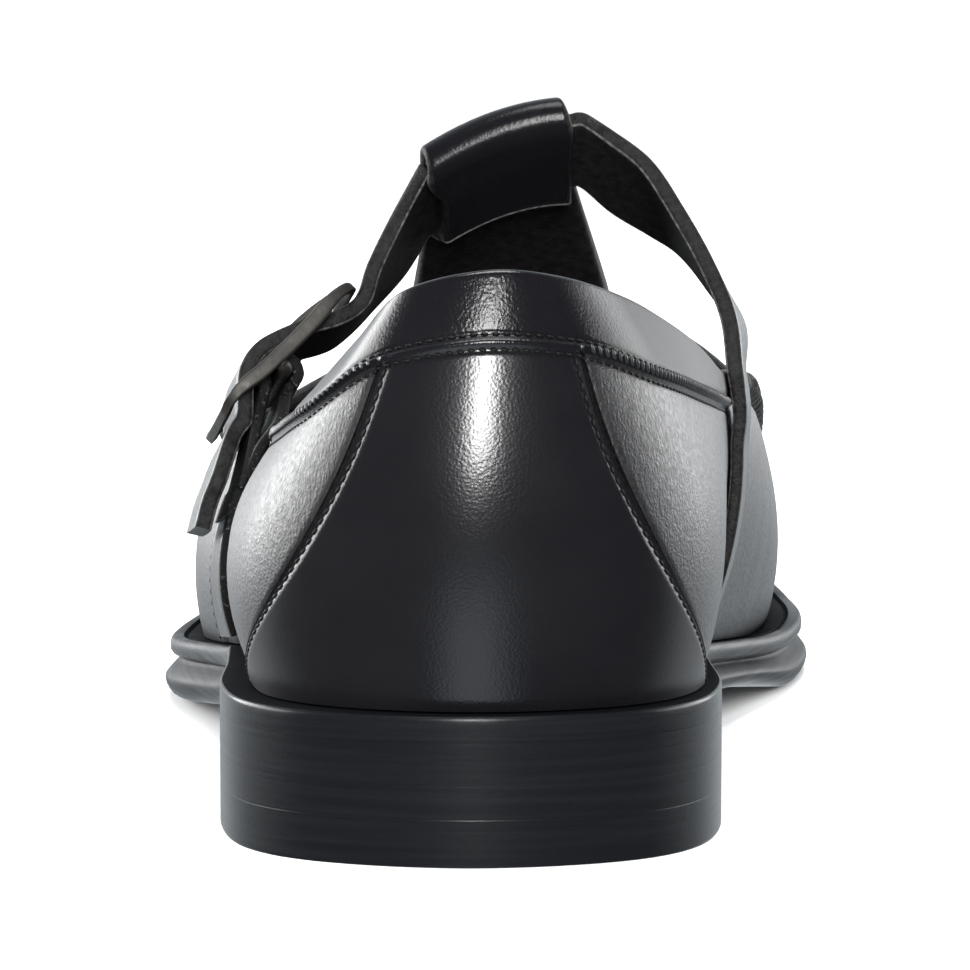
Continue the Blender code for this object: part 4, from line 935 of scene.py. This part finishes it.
def upper_arrays():
    """Points, lifts, depths, foot points, faces and finishes of the net of the whole upper."""
    points, lifts, depths, footing, faces, finishes = [], [], [], [], [], []
    count = 0

    def add(block, lift, depth, ledge=None):
        nonlocal count
        numbers = np.arange(count, count + block[..., 0].size).reshape(block.shape[:-1])
        points.append(block.reshape(-1, 3))
        lifts.append(np.broadcast_to(lift, numbers.shape).ravel())
        depths.append(np.broadcast_to(depth, numbers.shape).ravel())
        footing.append(np.zeros(numbers.size, bool) if ledge is None else ledge.ravel())
        count += numbers.size
        return numbers

    numbers = {}
    for side in (1, -1):
        rows, drop, level = net(side)
        lift, depth = wall_lift(rows, drop, level, side)
        block = wall_point(place(rows, side), level)
        own = slice(None) if side > 0 else slice(1, -1)
        ledge = np.zeros(rows[own].shape, bool)
        ledge[:, 0] = True
        grid = add(block[own], lift[own], depth[own], ledge)
        if side < 0:
            grid = np.vstack([numbers[1][:1], grid, numbers[1][-1:]])
        numbers[side] = grid
        faces.append(quads(grid) if side > 0 else quads(grid)[:, ::-1])
        finish = np.full((grid.shape[0] - 1, grid.shape[1] - 1), LEATHER)
        finish[:VAMP_COLUMN, UNDER_ROLL:] = COLLAR
        finish[:COUNTER_COLUMNS, :UNDER_ROLL] = COUNTER
        finish[:VAMP_COLUMN, -RIM_FACES:] = COUNTER
        # painted shade: the faces in the counter seam's groove take the near-black finish instead of the lit
        # leather
        finish[COUNTER_COLUMNS - GROOVE_COLUMNS:COUNTER_COLUMNS + GROOVE_COLUMNS, :UNDER_ROLL] = PAINTED_SEAM_SHADE
        finish[VAMP_COLUMN:, UNDER_ROLL:] = CUT_EDGE
        finishes.append(finish.ravel())
    rows = FIXED[FRONT_COLUMN - FIRST_FIXED:-1]
    w = across_places(rows)
    lift, depth = forefoot_lift(rows, w)
    middle = add(forefoot_point(rows, w)[:, 1:-1], lift[:, 1:-1], depth[:, 1:-1])
    grid = np.hstack([numbers[-1][FRONT_COLUMN:-1, -1:], middle, numbers[1][FRONT_COLUMN:-1, -1:]])
    for n in range(len(rows) - 1):
        between = (rows[n] + rows[n + 1]) / 2.0
        closed = strip_of(between) >= 0 or between > TOE_CAP
        kept = grid[n:n + 2] if closed else grid[n:n + 2, BAR_FIRST:BAR_LAST + 1]
        faces.append(quads(kept)[:, ::-1])
    tip = numbers[1][-1, -1]
    last, after = grid[-1, :-1], grid[-1, 1:]
    faces.append(np.column_stack([last, after, np.full(len(last), tip), last]))
    places = np.concatenate(points)
    throat, end = grid[0, BAR_FIRST:BAR_LAST + 1], int(np.argmin(np.abs(rows - STRIPS[0][1])))
    lines = tbar_lines(places[throat], places[grid[end, BAR_FIRST:BAR_LAST + 1]])
    in_bar = np.minimum(BAR_WAY, 1.0 - BAR_WAY) * (LOOP_MEDIAL - LOOP_LATERAL) * TBAR_EDGE_STRETCH
    fall = TBAR_ROUND * rounded(in_bar)
    fade = TBAR_STEP * (1.0 - smooth_step(0.0, TBAR_FADE_LINES, np.arange(len(lines))))[:, None]
    ridge = np.concatenate([np.zeros(len(lines) - len(END_RIDGE)), END_RIDGE])[:, None]
    bar = add(lines, fade - fall + ridge, WALL - fall)
    faces.append(quads(np.vstack([throat, bar])))
    faces, finishes = np.concatenate(faces), np.concatenate(finishes)
    finishes = np.concatenate([finishes, np.full(len(faces) - len(finishes), LEATHER)])
    bar_finish = np.full((len(lines), len(BAR_WAY) - 1), TBAR)
    bar_finish[:, :TBAR_EDGE_CELLS] = bar_finish[:, -TBAR_EDGE_CELLS:] = CUT_EDGE
    # painted highlight: the sewn end's small ridge takes the lighter edge finish
    bar_finish[-3] = EDGE_HIGHLIGHT_AND_DUST
    finishes[-bar_finish.size:] = bar_finish.ravel()
    return (np.concatenate(points), np.concatenate(lifts), np.concatenate(depths),
            np.concatenate(footing), faces, finishes)


*net_arrays, finishes = upper_arrays()
print("net of the whole upper:", len(finishes), "faces")

# %% Upper leather
FOLDED_Y, FOLDED_Z = 118.0, 82.0  # rims behind and below these are folded, not cut


def thicken(points, lifts, depths, footing, faces):
    """Closed wall from its middle net: outer points first, then inner points, then the cut edges."""
    normals = np.zeros_like(points)
    corner = points[faces]
    for a, b, c in ((0, 1, 2), (0, 2, 3)):
        cross = np.cross(corner[:, b] - corner[:, a], corner[:, c] - corner[:, a])
        for k in (a, b, c):
            np.add.at(normals, faces[:, k], cross)
    normals[footing, 2] = 0.0
    normals = unit(normals)
    both = np.vstack([points + normals * lifts[:, None], points - normals * depths[:, None]])
    edges = np.vstack([faces[:, [k, (k + 1) % 4]] for k in range(4)])
    edges = edges[edges[:, 0] != edges[:, 1]]
    size = len(points)
    own, back = edges[:, 0] * size + edges[:, 1], edges[:, 1] * size + edges[:, 0]
    rim = edges[~np.isin(own, back)]
    rims = np.column_stack([rim[:, 1], rim[:, 0], rim[:, 0] + size, rim[:, 1] + size])
    return both, faces, faces[:, ::-1] + size, rims


points, outside, inside_faces, rims = thicken(*net_arrays)
_, rim_y, rim_z = points[rims].mean(axis=1).T
folded = (rim_y < FOLDED_Y) & (rim_z < FOLDED_Z)
kinds = np.concatenate([finishes, np.full(len(inside_faces), LINING), np.where(folded, COUNTER, CUT_EDGE)])
materials = [quarter_leather, lining, cut_edge, painted_edge_highlight, counter_leather, collar_leather, tbar_leather,
             seam_shade_painted]
upper = make_piece("upper_leather", points, np.vstack([outside, inside_faces, rims]), materials, kinds)
hand_over(upper, "upper")

# %% [markdown]
# ## Straps
# The ankle strap is lasted under the medial side, rises over the instep through the T-bar's loop, and
# comes down on the lateral side through the buckle. The buckle strap comes up from the lateral side and
# folds round the buckle's centre bar. Both are cut from thick leather: a polished face, a matt flesh side
# and cut edges. On the ankle strap a lighter line near each edge of the flesh side is a painted highlight,
# and the buckle strap's flesh side and edges take a dark dusty finish. A section is swept along rows of
# three points each.

# %% Places of the straps and the buckle
CHAPE_THICKNESS, CHAPE_WIDTH = 1.8, 15.5
BUCKLE_UPPER, BUCKLE_LOWER = np.array([-20.3, 108.0, 72.9]), np.array([-39.3, 98.0, 54.7])
BUCKLE_MIDDLE = (BUCKLE_UPPER + BUCKLE_LOWER) / 2.0
BUCKLE_HALF = np.linalg.norm(BUCKLE_LOWER - BUCKLE_UPPER) / 2.0
BUCKLE_WIDE = 22.4
BUCKLE_DOWN = unit(BUCKLE_LOWER - BUCKLE_UPPER)
BUCKLE_ACROSS = np.array([-0.26, 0.880, -0.400])
BUCKLE_ACROSS = unit(BUCKLE_ACROSS - BUCKLE_DOWN * BUCKLE_ACROSS.dot(BUCKLE_DOWN))
BUCKLE_OUT = np.cross(BUCKLE_ACROSS, BUCKLE_DOWN)
SIDE_ROOM = (BUCKLE_WIDE - STRAP_WIDTH) / 2.0
MEDIAL_RISE = [  # rear x y z, front x y z of the inner face
    (35.8, 97.0, 68.6, 38.4, 115.0, 65.6), (32.6, 100.2, 76.4, 34.7, 118.0, 71.4),
    (28.4, 104.4, 84.0, 30.4, 121.6, 76.6), (24.0, 108.0, 90.8, 25.8, 124.6, 79.5),
    (18.8, 110.8, 95.0, 20.0, 126.2, 82.9)]
LATERAL_FALL = [(-12.2, 111.8, 83.2, -12.6, 126.6, 73.1), (-15.9, 110.2, 75.4, -17.4, 126.6, 67.8)]
THROUGH_BUCKLE = [  # way down the buckle, way out of it
    (-14.5, -3.7), (-9.5, -3.1), (-4.5, -0.6), (0.0, 1.2), (3.2, 1.9), (6.2, 1.2), (8.6, -0.7),
    (12.2, -3.9), (15.4, -4.6)]
ROUND_BAR = [(5.0, -5.3), (3.0, -5.0), (0.9, -4.2), (-0.2, -1.8), (0.75, 0.5), (3.0, 1.4), (5.8, 0.7),
             (8.0, -1.2)]
BASE_LEVELS = (0.05, 0.16, 0.28, 0.4, 0.52, 0.64, 0.74)
ANKLE_BAND_LEVELS, CHAPE_BAND_LEVELS = (0.84, 0.92, 1.0), (0.84, 0.95)
FREE_END_LEVELS, RETURN_LEVELS = (0.68, 0.58, 0.48), (0.72, 0.66, 0.6, 0.55)
LOOP_XS = (13.8, 12.0, 6.0, 0.0, -6.0, -9.6, -10.2)
FREE_END_ROOM, RETURN_ROOM = 1.8, 0.35
STRAP_REAR, STRAP_FRONT = 5.06, 5.68


def at_buckle(down, across_way, out):
    """Point in the buckle's own directions."""
    return BUCKLE_MIDDLE + down * BUCKLE_DOWN + across_way * BUCKLE_ACROSS + out * BUCKLE_OUT


FRAME_WAVE = np.array([(0.0, 0.2), (0.4, 0.35), (0.75, 0.8), (0.92, 0.6), (1.0, 0.1)])  # way to the end, out


def buckle_wave(down):
    """Way out of the frame's middle line: low at its middle, high near its rounded ends."""
    return through(FRAME_WAVE[:, 0], FRAME_WAVE[:, 1], abs(down) / BUCKLE_HALF)


def strap_row(rear, front):
    """Rear, middle and front point of a strap that lies free."""
    rear, front = np.asarray(rear, float), np.asarray(front, float)
    return np.array([rear, (rear + front) / 2.0, front])


def strap_at_buckle(down, out, width=STRAP_WIDTH):
    """Row of a strap's inner face at the buckle."""
    rear = at_buckle(down, SIDE_ROOM, out)
    return strap_row(rear, rear + width * BUCKLE_ACROSS)


def on_wall(side, level, offset):
    """Row of a strap's inner face that lies on the wall."""
    q = place(np.array([STRAP_REAR, (STRAP_REAR + STRAP_FRONT) / 2.0, STRAP_FRONT]), side)
    return wall_point(q, level) + offset * wall_normal(q, level)


ankle_rows = [on_wall(1, level, SEAM_GAP) for level in BASE_LEVELS]
ankle_rows += [on_wall(1, level, SEAM_GAP + BAND_STEP) for level in ANKLE_BAND_LEVELS]
ankle_rows += [strap_row(row[:3], row[3:]) for row in MEDIAL_RISE]
under_loop = WALL + SEAM_GAP + STRAP_THICKNESS
for x in LOOP_XS:
    rear = instep_point(np.array(x), LOOP_TOP_Y) - under_loop * INSTEP_NORMAL
    ankle_rows.append(strap_row(rear, rear - STRAP_WIDTH * INSTEP_UP))
ankle_rows += [strap_row(row[:3], row[3:]) for row in LATERAL_FALL]
ankle_rows += [strap_at_buckle(down, out) for down, out in THROUGH_BUCKLE]
over_chape = SEAM_GAP + CHAPE_THICKNESS
ankle_rows += [on_wall(-1, level, over_chape + FREE_END_ROOM) for level in FREE_END_LEVELS]
chape_rows = [on_wall(-1, level, SEAM_GAP) for level in BASE_LEVELS]
chape_rows += [on_wall(-1, level, SEAM_GAP + BAND_STEP) for level in CHAPE_BAND_LEVELS]
chape_rows += [strap_at_buckle(down, out, CHAPE_WIDTH) for down, out in ROUND_BAR]
chape_rows += [on_wall(-1, level, over_chape + RETURN_ROOM) for level in RETURN_LEVELS]
print("rows of the ankle strap:", len(ankle_rows), "of the buckle strap:", len(chape_rows))

# %% Swept straps
# the faces next to each edge of the flesh side carry a painted highlight on the ankle strap, and dust on the
# buckle strap
HALF_SECTION = [  # millimetres from the edge, share of the thickness, finish of the face after it
    (7.5, 0.0, LINING), (5.0, 0.0, LINING), (3.0, 0.0, LINING), (1.7, 0.0, LINING), (0.9, 0.0, LINING),
    (0.4, 0.02, EDGE_HIGHLIGHT_AND_DUST), (0.12, 0.12, CUT_EDGE), (0.0, 0.3, CUT_EDGE), (0.0, 0.5, CUT_EDGE),
    (0.0, 0.7, CUT_EDGE), (0.12, 0.88, CUT_EDGE), (0.4, 0.98, LEATHER), (0.9, 1.0, LEATHER),
    (1.5, 0.99, LEATHER), (1.75, 0.92, LEATHER), (2.0, 0.99, LEATHER), (3.2, 1.0, LEATHER),
    (5.0, 1.0, LEATHER), (7.5, 1.0, LEATHER)]


def across_strap(lines, s):
    """Points at share s across rows of rear, middle and front points."""
    rear, middle, front = lines[:, 0], lines[:, 1], lines[:, 2]
    return rear * (1 - s) * (1 - 2 * s) + middle * 4 * s * (1 - s) + front * s * (2 * s - 1)


def sweep_strap(name, rows, side, thickness, materials, steps=9):
    """Strap with rounded raw edges and creased lines along them, through rows of its inner face."""
    rows = np.array(rows)
    ways = np.linspace(0.0, len(rows) - 1.0, steps * (len(rows) - 1) + 1)
    lines = along(rows, ways)
    thickness = np.interp(ways, np.arange(len(rows)), thickness)[:, None]
    width = np.linalg.norm(lines[:, 2] - lines[:, 0], axis=1, keepdims=True)
    ahead = np.gradient(lines[:, 1], axis=0)
    rear_half = [(mm, height, kind, False) for mm, height, kind in HALF_SECTION]
    kinds_back = [LEATHER] + [kind for _, _, kind in HALF_SECTION[::-1]][1:]
    front_half = [(mm, height, kind, True) for (mm, height, _), kind in zip(HALF_SECTION[::-1], kinds_back)]
    columns, kinds = [], []
    for mm, height, kind, from_front in rear_half + front_half:
        s = 1.0 - mm / width if from_front else mm / width
        wide = across_strap(lines, s + 0.01) - across_strap(lines, s - 0.01)
        normal = unit(side * np.cross(wide, ahead))
        columns.append(across_strap(lines, s) + normal * thickness * height)
        kinds.append(kind)
    grid = np.stack(columns, axis=1)
    kinds = list(np.tile(kinds, len(lines) - 1)) + [CUT_EDGE, CUT_EDGE]
    return make_piece(name, grid.reshape(-1, 3), capped(numbered(grid)), materials, kinds)


LASTED_THICKNESS = [2.0, 2.0, 2.0, 2.0, 2.0, 2.0, 2.1, 2.2, 2.4]  # pressed flat towards the welt
SKIVED = 1.3  # the buckle strap's folded end is pared down
ankle_thick = np.full(len(ankle_rows), STRAP_THICKNESS)
ankle_thick[:len(LASTED_THICKNESS)] = LASTED_THICKNESS
ankle_strap = sweep_strap("ankle_strap_leather", ankle_rows, 1, ankle_thick,
                          [strap_leather, lining, cut_edge, painted_edge_highlight])
hand_over(ankle_strap, "ankle_strap")
chape_thick = np.full(len(chape_rows), CHAPE_THICKNESS)
chape_thick[-len(RETURN_LEVELS):] = SKIVED
# on this strap the painted highlight slot takes the dark dusty edge
buckle_strap = sweep_strap("buckle_strap_leather", chape_rows, -1, chape_thick,
                           [strap_leather, dusty_edge, dusty_edge, dusty_edge])
hand_over(buckle_strap, "buckle_strap")

# %% [markdown]
# ## Buckle
# The buckle is a stamped and bowed frame with round corners, dark plated, with a centre bar on two short
# legs and a prong. It stays fastened. The bars are swept round their own paths, with a squared section for
# the frame, whose ends are thinner, and a round one for the centre bar and the prong.

# %% Bars of the buckle
BAR_DOWN, BAR_DEPTH, BAR_RADIUS, BAR_BEND = 3.0, -1.8, 1.067, 1.2
BAR_LEG = [(0.0, 1.0), (0.12, 0.6), (0.35, 0.3), (0.65, 0.1), (1.0, 0.0)]  # shares of the bend: in, up
FRAME_CORNER, FRAME_RADIUS, FRAME_SQUARE = 3.2, 1.2, 0.32
FRAME_TAPER, TAPER_START = 0.4, 0.5
ROUND_SIDES = 20


def sweep_bar(path, radii, closed=False, square=1.0):
    """Points and faces of a bar along a path, with a round section or a squared one."""
    path, radii = np.asarray(path), np.broadcast_to(radii, len(path))
    ahead = unit(np.roll(path, -1, 0) - np.roll(path, 1, 0)) if closed else unit(np.gradient(path, axis=0))
    up = BUCKLE_OUT - ahead * (ahead @ BUCKLE_OUT)[:, None]
    weak = np.linalg.norm(up, axis=1) < 0.2
    up[weak] = (BUCKLE_DOWN - ahead * (ahead @ BUCKLE_DOWN)[:, None])[weak]
    up = unit(up)
    sideways = np.cross(ahead, up)
    angle = 2.0 * np.pi * (np.arange(ROUND_SIDES) + 0.5) / ROUND_SIDES
    c, s = np.cos(angle), np.sin(angle)
    c, s = np.sign(c) * np.abs(c) ** square, np.sign(s) * np.abs(s) ** square
    grid = path[:, None] + radii[:, None, None] * (
        c[:, None] * up[:, None] + s[:, None] * sideways[:, None])
    numbers = numbered(grid)
    if closed:
        return grid.reshape(-1, 3), quads(np.vstack([numbers, numbers[:1]]), closed=True).tolist()
    return grid.reshape(-1, 3), capped(numbers)


def frame_path():
    """The frame's middle line: round corners, bowed long sides."""
    path = []
    for sign_down, sign_across, start in ((1, 1, 0.0), (-1, 1, 90.0), (-1, -1, 180.0), (1, -1, 270.0)):
        for angle in np.radians(start + np.linspace(0.0, 90.0, 9)):
            down = sign_down * (BUCKLE_HALF - FRAME_CORNER) + FRAME_CORNER * np.cos(angle)
            side = sign_across * (BUCKLE_WIDE / 2.0 - FRAME_CORNER) + FRAME_CORNER * np.sin(angle)
            path.append((down, BUCKLE_WIDE / 2.0 + side))
        if sign_down == sign_across:
            run = sign_down * np.linspace(BUCKLE_HALF - FRAME_CORNER, FRAME_CORNER - BUCKLE_HALF, 16)[1:-1]
            path += [(down, path[-1][1]) for down in run]
    return [at_buckle(down, side, buckle_wave(down)) for down, side in path]


bar_ways = [(0.0, buckle_wave(BAR_DOWN))]
bar_ways += [(BAR_BEND * side, BAR_DEPTH + BAR_BEND * up) for side, up in BAR_LEG]
bar_ways += [(BUCKLE_WIDE - side, out) for side, out in bar_ways[::-1]]
bar_path = [at_buckle(BAR_DOWN, side, out) for side, out in bar_ways]
frame_line = np.array(frame_path())
to_end = np.abs((frame_line - BUCKLE_MIDDLE) @ BUCKLE_DOWN) / BUCKLE_HALF
frame_radii = FRAME_RADIUS * (1.0 - FRAME_TAPER * smooth_step(TAPER_START, 1.0, to_end))
frame_points, frame_faces = sweep_bar(frame_line, frame_radii, True, FRAME_SQUARE)
bar_points, bar_faces = sweep_bar(bar_path, BAR_RADIUS)
faces = frame_faces + [[v + len(frame_points) for v in face] for face in bar_faces]
buckle = make_piece("buckle_frame_metal", np.vstack([frame_points, bar_points]), faces, [gunmetal])
hand_over(buckle, "buckle_frame")

# %% Prong
PRONG_START, PRONG_END, PRONG_BOW = (-4.2, 2.9), (-15.0, 1.9), 0.25
way = np.array([0.0, 0.015, 0.04, 0.08, 0.2, 0.35, 0.5, 0.65, 0.8, 0.92, 0.97, 0.99, 1.0])
thick = np.array([0.2, 0.4, 0.55, 0.62, 0.66, 0.68, 0.68, 0.66, 0.64, 0.6, 0.52, 0.4, 0.22])
start = at_buckle(PRONG_START[0], BUCKLE_WIDE / 2.0, PRONG_START[1])
end = at_buckle(PRONG_END[0], BUCKLE_WIDE / 2.0, PRONG_END[1])
prong_path = start + (end - start) * way[:, None] + PRONG_BOW * np.sin(np.pi * way)[:, None] * BUCKLE_OUT
prong = make_piece("buckle_prong_metal", *sweep_bar(prong_path, thick), [gunmetal])
hand_over(prong, "buckle_prong")

# %% [markdown]
# ## Stitches
# Waxed thread holds the seams: two rows along the collar's roll, one row along each side of the counter,
# and one along the rear edge of the vamp. On the quarters the roll itself is whipped with a leather cord,
# which shows as a row of slanting turns. Each row is a curve on the leather. A node group cuts the curve
# into stitches of equal length and sets one small rounded stitch on each, turned along the row.

# %% Stitch node group
def stitch_group():
    """Node group that turns a curve into a row of stitches."""
    group = bpy.data.node_groups.new("stitch_row", "GeometryNodeTree")
    face = group.interface
    face.new_socket("Geometry", in_out="INPUT", socket_type="NodeSocketGeometry")
    for name in ("Pitch", "Length", "Thickness", "Slant"):
        face.new_socket(name, in_out="INPUT", socket_type="NodeSocketFloat")
    face.new_socket("Thread", in_out="INPUT", socket_type="NodeSocketMaterial")
    face.new_socket("Geometry", in_out="OUTPUT", socket_type="NodeSocketGeometry")
    node = group.nodes.new
    start, end = node("NodeGroupInput"), node("NodeGroupOutput")
    cut = node("GeometryNodeResampleCurve")
    cut.mode = "LENGTH"
    ball = node("GeometryNodeMeshUVSphere")
    for key, value in (("Segments", 8), ("Rings", 6), ("Radius", 0.5)):
        ball.inputs[key].default_value = value
    size, lean = node("ShaderNodeCombineXYZ"), node("ShaderNodeCombineXYZ")
    tangent = node("GeometryNodeInputTangent")
    turn = node("FunctionNodeAlignRotationToVector")
    turn.axis = "X"
    put = node("GeometryNodeInstanceOnPoints")
    tilt = node("GeometryNodeRotateInstances")
    real = node("GeometryNodeRealizeInstances")
    smooth = node("GeometryNodeSetShadeSmooth")
    paint = node("GeometryNodeSetMaterial")
    for giver, output, taker, socket in [
            (start, "Geometry", cut, "Curve"), (start, "Pitch", cut, "Length"),
            (start, "Length", size, "X"), (start, "Thickness", size, "Y"), (start, "Thickness", size, "Z"),
            (tangent, "Tangent", turn, "Vector"), (cut, "Curve", put, "Points"),
            (ball, "Mesh", put, "Instance"), (turn, "Rotation", put, "Rotation"),
            (size, "Vector", put, "Scale"), (start, "Slant", lean, "Y"),
            (put, "Instances", tilt, "Instances"), (lean, "Vector", tilt, "Rotation"),
            (tilt, "Instances", real, "Geometry"), (real, "Geometry", smooth, "Geometry"),
            (smooth, "Geometry", paint, "Geometry"), (start, "Thread", paint, "Material"),
            (paint, "Geometry", end, "Geometry")]:
        group.links.new(giver.outputs[output], taker.inputs[socket])
    return group


stitch_row = stitch_group()
print("stitch group:", len(stitch_row.nodes), "nodes")

# %% Sewing functions
def sew(name, rows, pitch, length, thickness, slant, finish=thread):
    """One joined piece of stitches along rows of points in shoe millimetres."""
    curve = bpy.data.curves.new(name, "CURVE")
    curve.dimensions = "3D"
    for row in rows:
        spline = curve.splines.new("POLY")
        spline.points.add(len(row) - 1)
        world = np.asarray(row) * MM + SHOE_ZERO
        spline.points.foreach_set("co", np.column_stack([world, np.ones(len(world))]).ravel())
    path = add_object(name + "_path", curve)
    maker = path.modifiers.new("stitches", "NODES")
    maker.node_group = stitch_row
    values = {"Pitch": pitch * MM, "Length": length * MM, "Thickness": thickness * MM, "Slant": slant,
              "Thread": finish}
    for item in stitch_row.interface.items_tree:
        if item.in_out == "INPUT" and item.name in values:
            maker[item.identifier] = values[item.name]
    graph = bpy.context.evaluated_depsgraph_get()
    mesh = bpy.data.meshes.new_from_object(path.evaluated_get(graph))
    mesh.name = name
    bpy.data.objects.remove(path)
    piece = add_object(name, mesh)
    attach(piece, "root")
    print(name, len(mesh.polygons), "faces")


def above_wall(q, level, lift):
    """Points lifted off the wall."""
    return wall_point(q, level) + wall_normal(q, level) * np.asarray(lift)[..., None]


def below_top(q, drop):
    """Level of points at millimetres below the top edge."""
    return 1.0 - drop / wall_height(q)


THREAD_LIFT = 0.12
print("thread lies", THREAD_LIFT, "mm over the leather")

# %% Collar stitches and cord
ROLL_END = 4.85
STITCH_SINK = 0.2
round_heel = np.linspace(-ROLL_END, ROLL_END, 700)
far = np.abs(round_heel)
upper_level = below_top(round_heel, band_height(far) - STITCH_OFFSET)
upper_row = above_wall(round_heel, upper_level, np.full(len(far), BAND_STEP - STITCH_SINK + THREAD_LIFT))
lower_level = below_top(round_heel, band_height(far) + STITCH_OFFSET)
seam_way = (counter_seam(lower_level) - far) * row_length(far, 1, lower_level)
lower_lift = COUNTER_STEP * smooth_step(*COUNTER_EDGE, seam_way) - STITCH_SINK + THREAD_LIFT
sew("collar_stitches", [upper_row, above_wall(round_heel, lower_level, lower_lift)], 1.5, 1.1, 0.42, 0.12)

CORD_START = float(counter_seam(np.array(0.86))) + 0.12
CORD_LIFT = BAND_STEP + ROLL_HEIGHT - 0.3
CORD_SLANT = 0.95
for side, name in ((1, "medial_cord"), (-1, "lateral_cord")):
    q = place(np.linspace(CORD_START, ROLL_END, 300), side)
    cord_row = above_wall(q, below_top(q, band_height(np.abs(q))), np.full(len(q), CORD_LIFT))
    sew(name, [cord_row], 1.25, 1.8, 0.66, side * CORD_SLANT, quarter_leather)

# %% Counter and vamp stitches
COUNTER_MARGIN, COUNTER_SINK = 1.3, 0.25
VAMP_MARGIN = 0.09
counter_rows, vamp_rows = [], []
for side in (1, -1):
    level = np.linspace(0.02, 0.86, 300)
    for _ in range(3):
        seam = counter_seam(level)
        rows = seam - COUNTER_MARGIN / row_length(seam, side, level)
        level = np.minimum(np.linspace(0.02, 0.9, 300), below_top(place(rows, side), band_height(rows) + 2.0))
    counter_lift = np.full(len(rows), COUNTER_STEP - COUNTER_SINK + THREAD_LIFT)
    counter_rows.append(above_wall(place(rows, side), level, counter_lift))
    q = place(np.full(200, VAMP_EDGE + VAMP_MARGIN), side)
    vamp_rows.append(above_wall(q, np.linspace(0.04, 0.86, 200), np.full(200, VAMP_STEP + THREAD_LIFT)))
sew("counter_stitches", counter_rows, 1.7, 1.25, 0.36, 0.1)
sew("vamp_stitches", vamp_rows, 1.8, 1.3, 0.36, 0.1)

# %% [markdown]
# ## Studio
# The shoe stands on a pale floor in a bright room. Large soft lights at both sides give the quarters
# their grey sheen, and a narrow light above the viewer draws the upright strip on the heel. Behind the
# viewer the room is dim, which keeps the heel black, apart from a faint glow near the floor that lightens
# the foot of the counter. The view is from 0.7 m behind the heel, 0.12 m up.

# %% Floor
FLOOR_HALF = 150.0
pale, pale_tree, pale_shader = shader_of("pale_floor", (0.95, 0.95, 0.95), 0.8)
spread(pale_tree, noise(pale_tree, 4.0, 2.0), 0.75, 0.85, pale_shader.inputs["Roughness"])
mesh = bpy.data.meshes.new("floor")
corners = [(x * FLOOR_HALF, y * FLOOR_HALF, 0.0) for x, y in ((-1, -1), (1, -1), (1, 1), (-1, 1))]
mesh.from_pydata(corners, [], [(0, 1, 2, 3)])
mesh.materials.append(pale)
floor = add_object("floor", mesh)
floor.visible_glossy = False
print("floor:", floor.name)

# %% Room
world = bpy.data.worlds.new("room")
bpy.context.scene.world = world
world.use_nodes = True
room = world.node_tree
background = room.nodes["Background"]
background.inputs["Color"].default_value = (0.87, 0.95, 1.0, 1.0)


def combined(operation, *values):
    """One value from others in the room's nodes."""
    node = room.nodes.new("ShaderNodeMath")
    node.operation = operation
    for socket, value in zip(node.inputs, values):
        room.links.new(value, socket)
    return node.outputs["Value"]


looking = axes_of(room, "Generated")
ahead = ranged(room, looking["Y"], -0.1, 0.75, 0.06, 0.9, "SMOOTHSTEP")
near_floor = ranged(room, looking["Z"], -0.45, -0.1, 2.0, 0.0, "SMOOTHSTEP")
middle = ranged(room, combined("ABSOLUTE", looking["X"]), 0.1, 0.4, 1.0, 0.0, "SMOOTHSTEP")
brightness = combined("ADD", ahead, combined("MULTIPLY", near_floor, middle))
room.links.new(brightness, background.inputs["Strength"])
print("room:", len(room.nodes), "nodes")

# %% Lamps
HEEL_SPOT = (0.0, -0.15, 0.05)
LAMPS = {  # place, width and height in metres, power in watts
    "strip_above_viewer": ((0.03, -1.5, 0.54), 0.30, 0.72, 46.0),
    "side_left": ((-1.35, 0.52, 0.42), 1.8, 0.8, 60.0),
    "side_right": ((1.35, 0.65, 0.40), 1.7, 0.8, 30.0)}
for name, (spot, wide, high, power) in LAMPS.items():
    data = bpy.data.lights.new(name, "AREA")
    data.shape = "RECTANGLE"
    data.size, data.size_y, data.energy = wide, high, power
    light = add_object(name, data)
    light.location = spot
    x, y, z = np.subtract(HEEL_SPOT, spot)
    tilt = math.atan2(z, math.hypot(x, y))
    light.rotation_euler = (math.pi / 2.0 + tilt, 0.0, math.atan2(y, x) - math.pi / 2.0)
ceiling = bpy.data.lights.new("ceiling", "SUN")
ceiling.energy, ceiling.angle = 2.6, math.radians(30.0)
add_object("ceiling", ceiling)
bpy.context.scene.view_settings.view_transform = "Standard"

# %% Camera
VIEW_DISTANCE, VIEW_HEIGHT, FOCAL_PIXELS, HORIZON, FRAME_PIXELS = 0.700, 0.120, 5200.0, -18.0, 970.0
SENSOR = 36.0
pitch = math.atan((FRAME_PIXELS / 2.0 - HORIZON) / FOCAL_PIXELS)
lens = bpy.data.cameras.new("rear_view")
lens.sensor_width = SENSOR
lens.lens = SENSOR * FOCAL_PIXELS / math.cos(pitch) / FRAME_PIXELS
camera = add_object("rear_view", lens)
camera.location = (SHOE_ZERO[0], SHOE_ZERO[1] - VIEW_DISTANCE, VIEW_HEIGHT)
camera.rotation_euler = (math.pi / 2.0 - pitch, 0.0, 0.0)
bpy.context.scene.camera = camera
print("lens:", round(lens.lens, 1), "mm, pitch:", round(math.degrees(pitch), 2), "degrees")
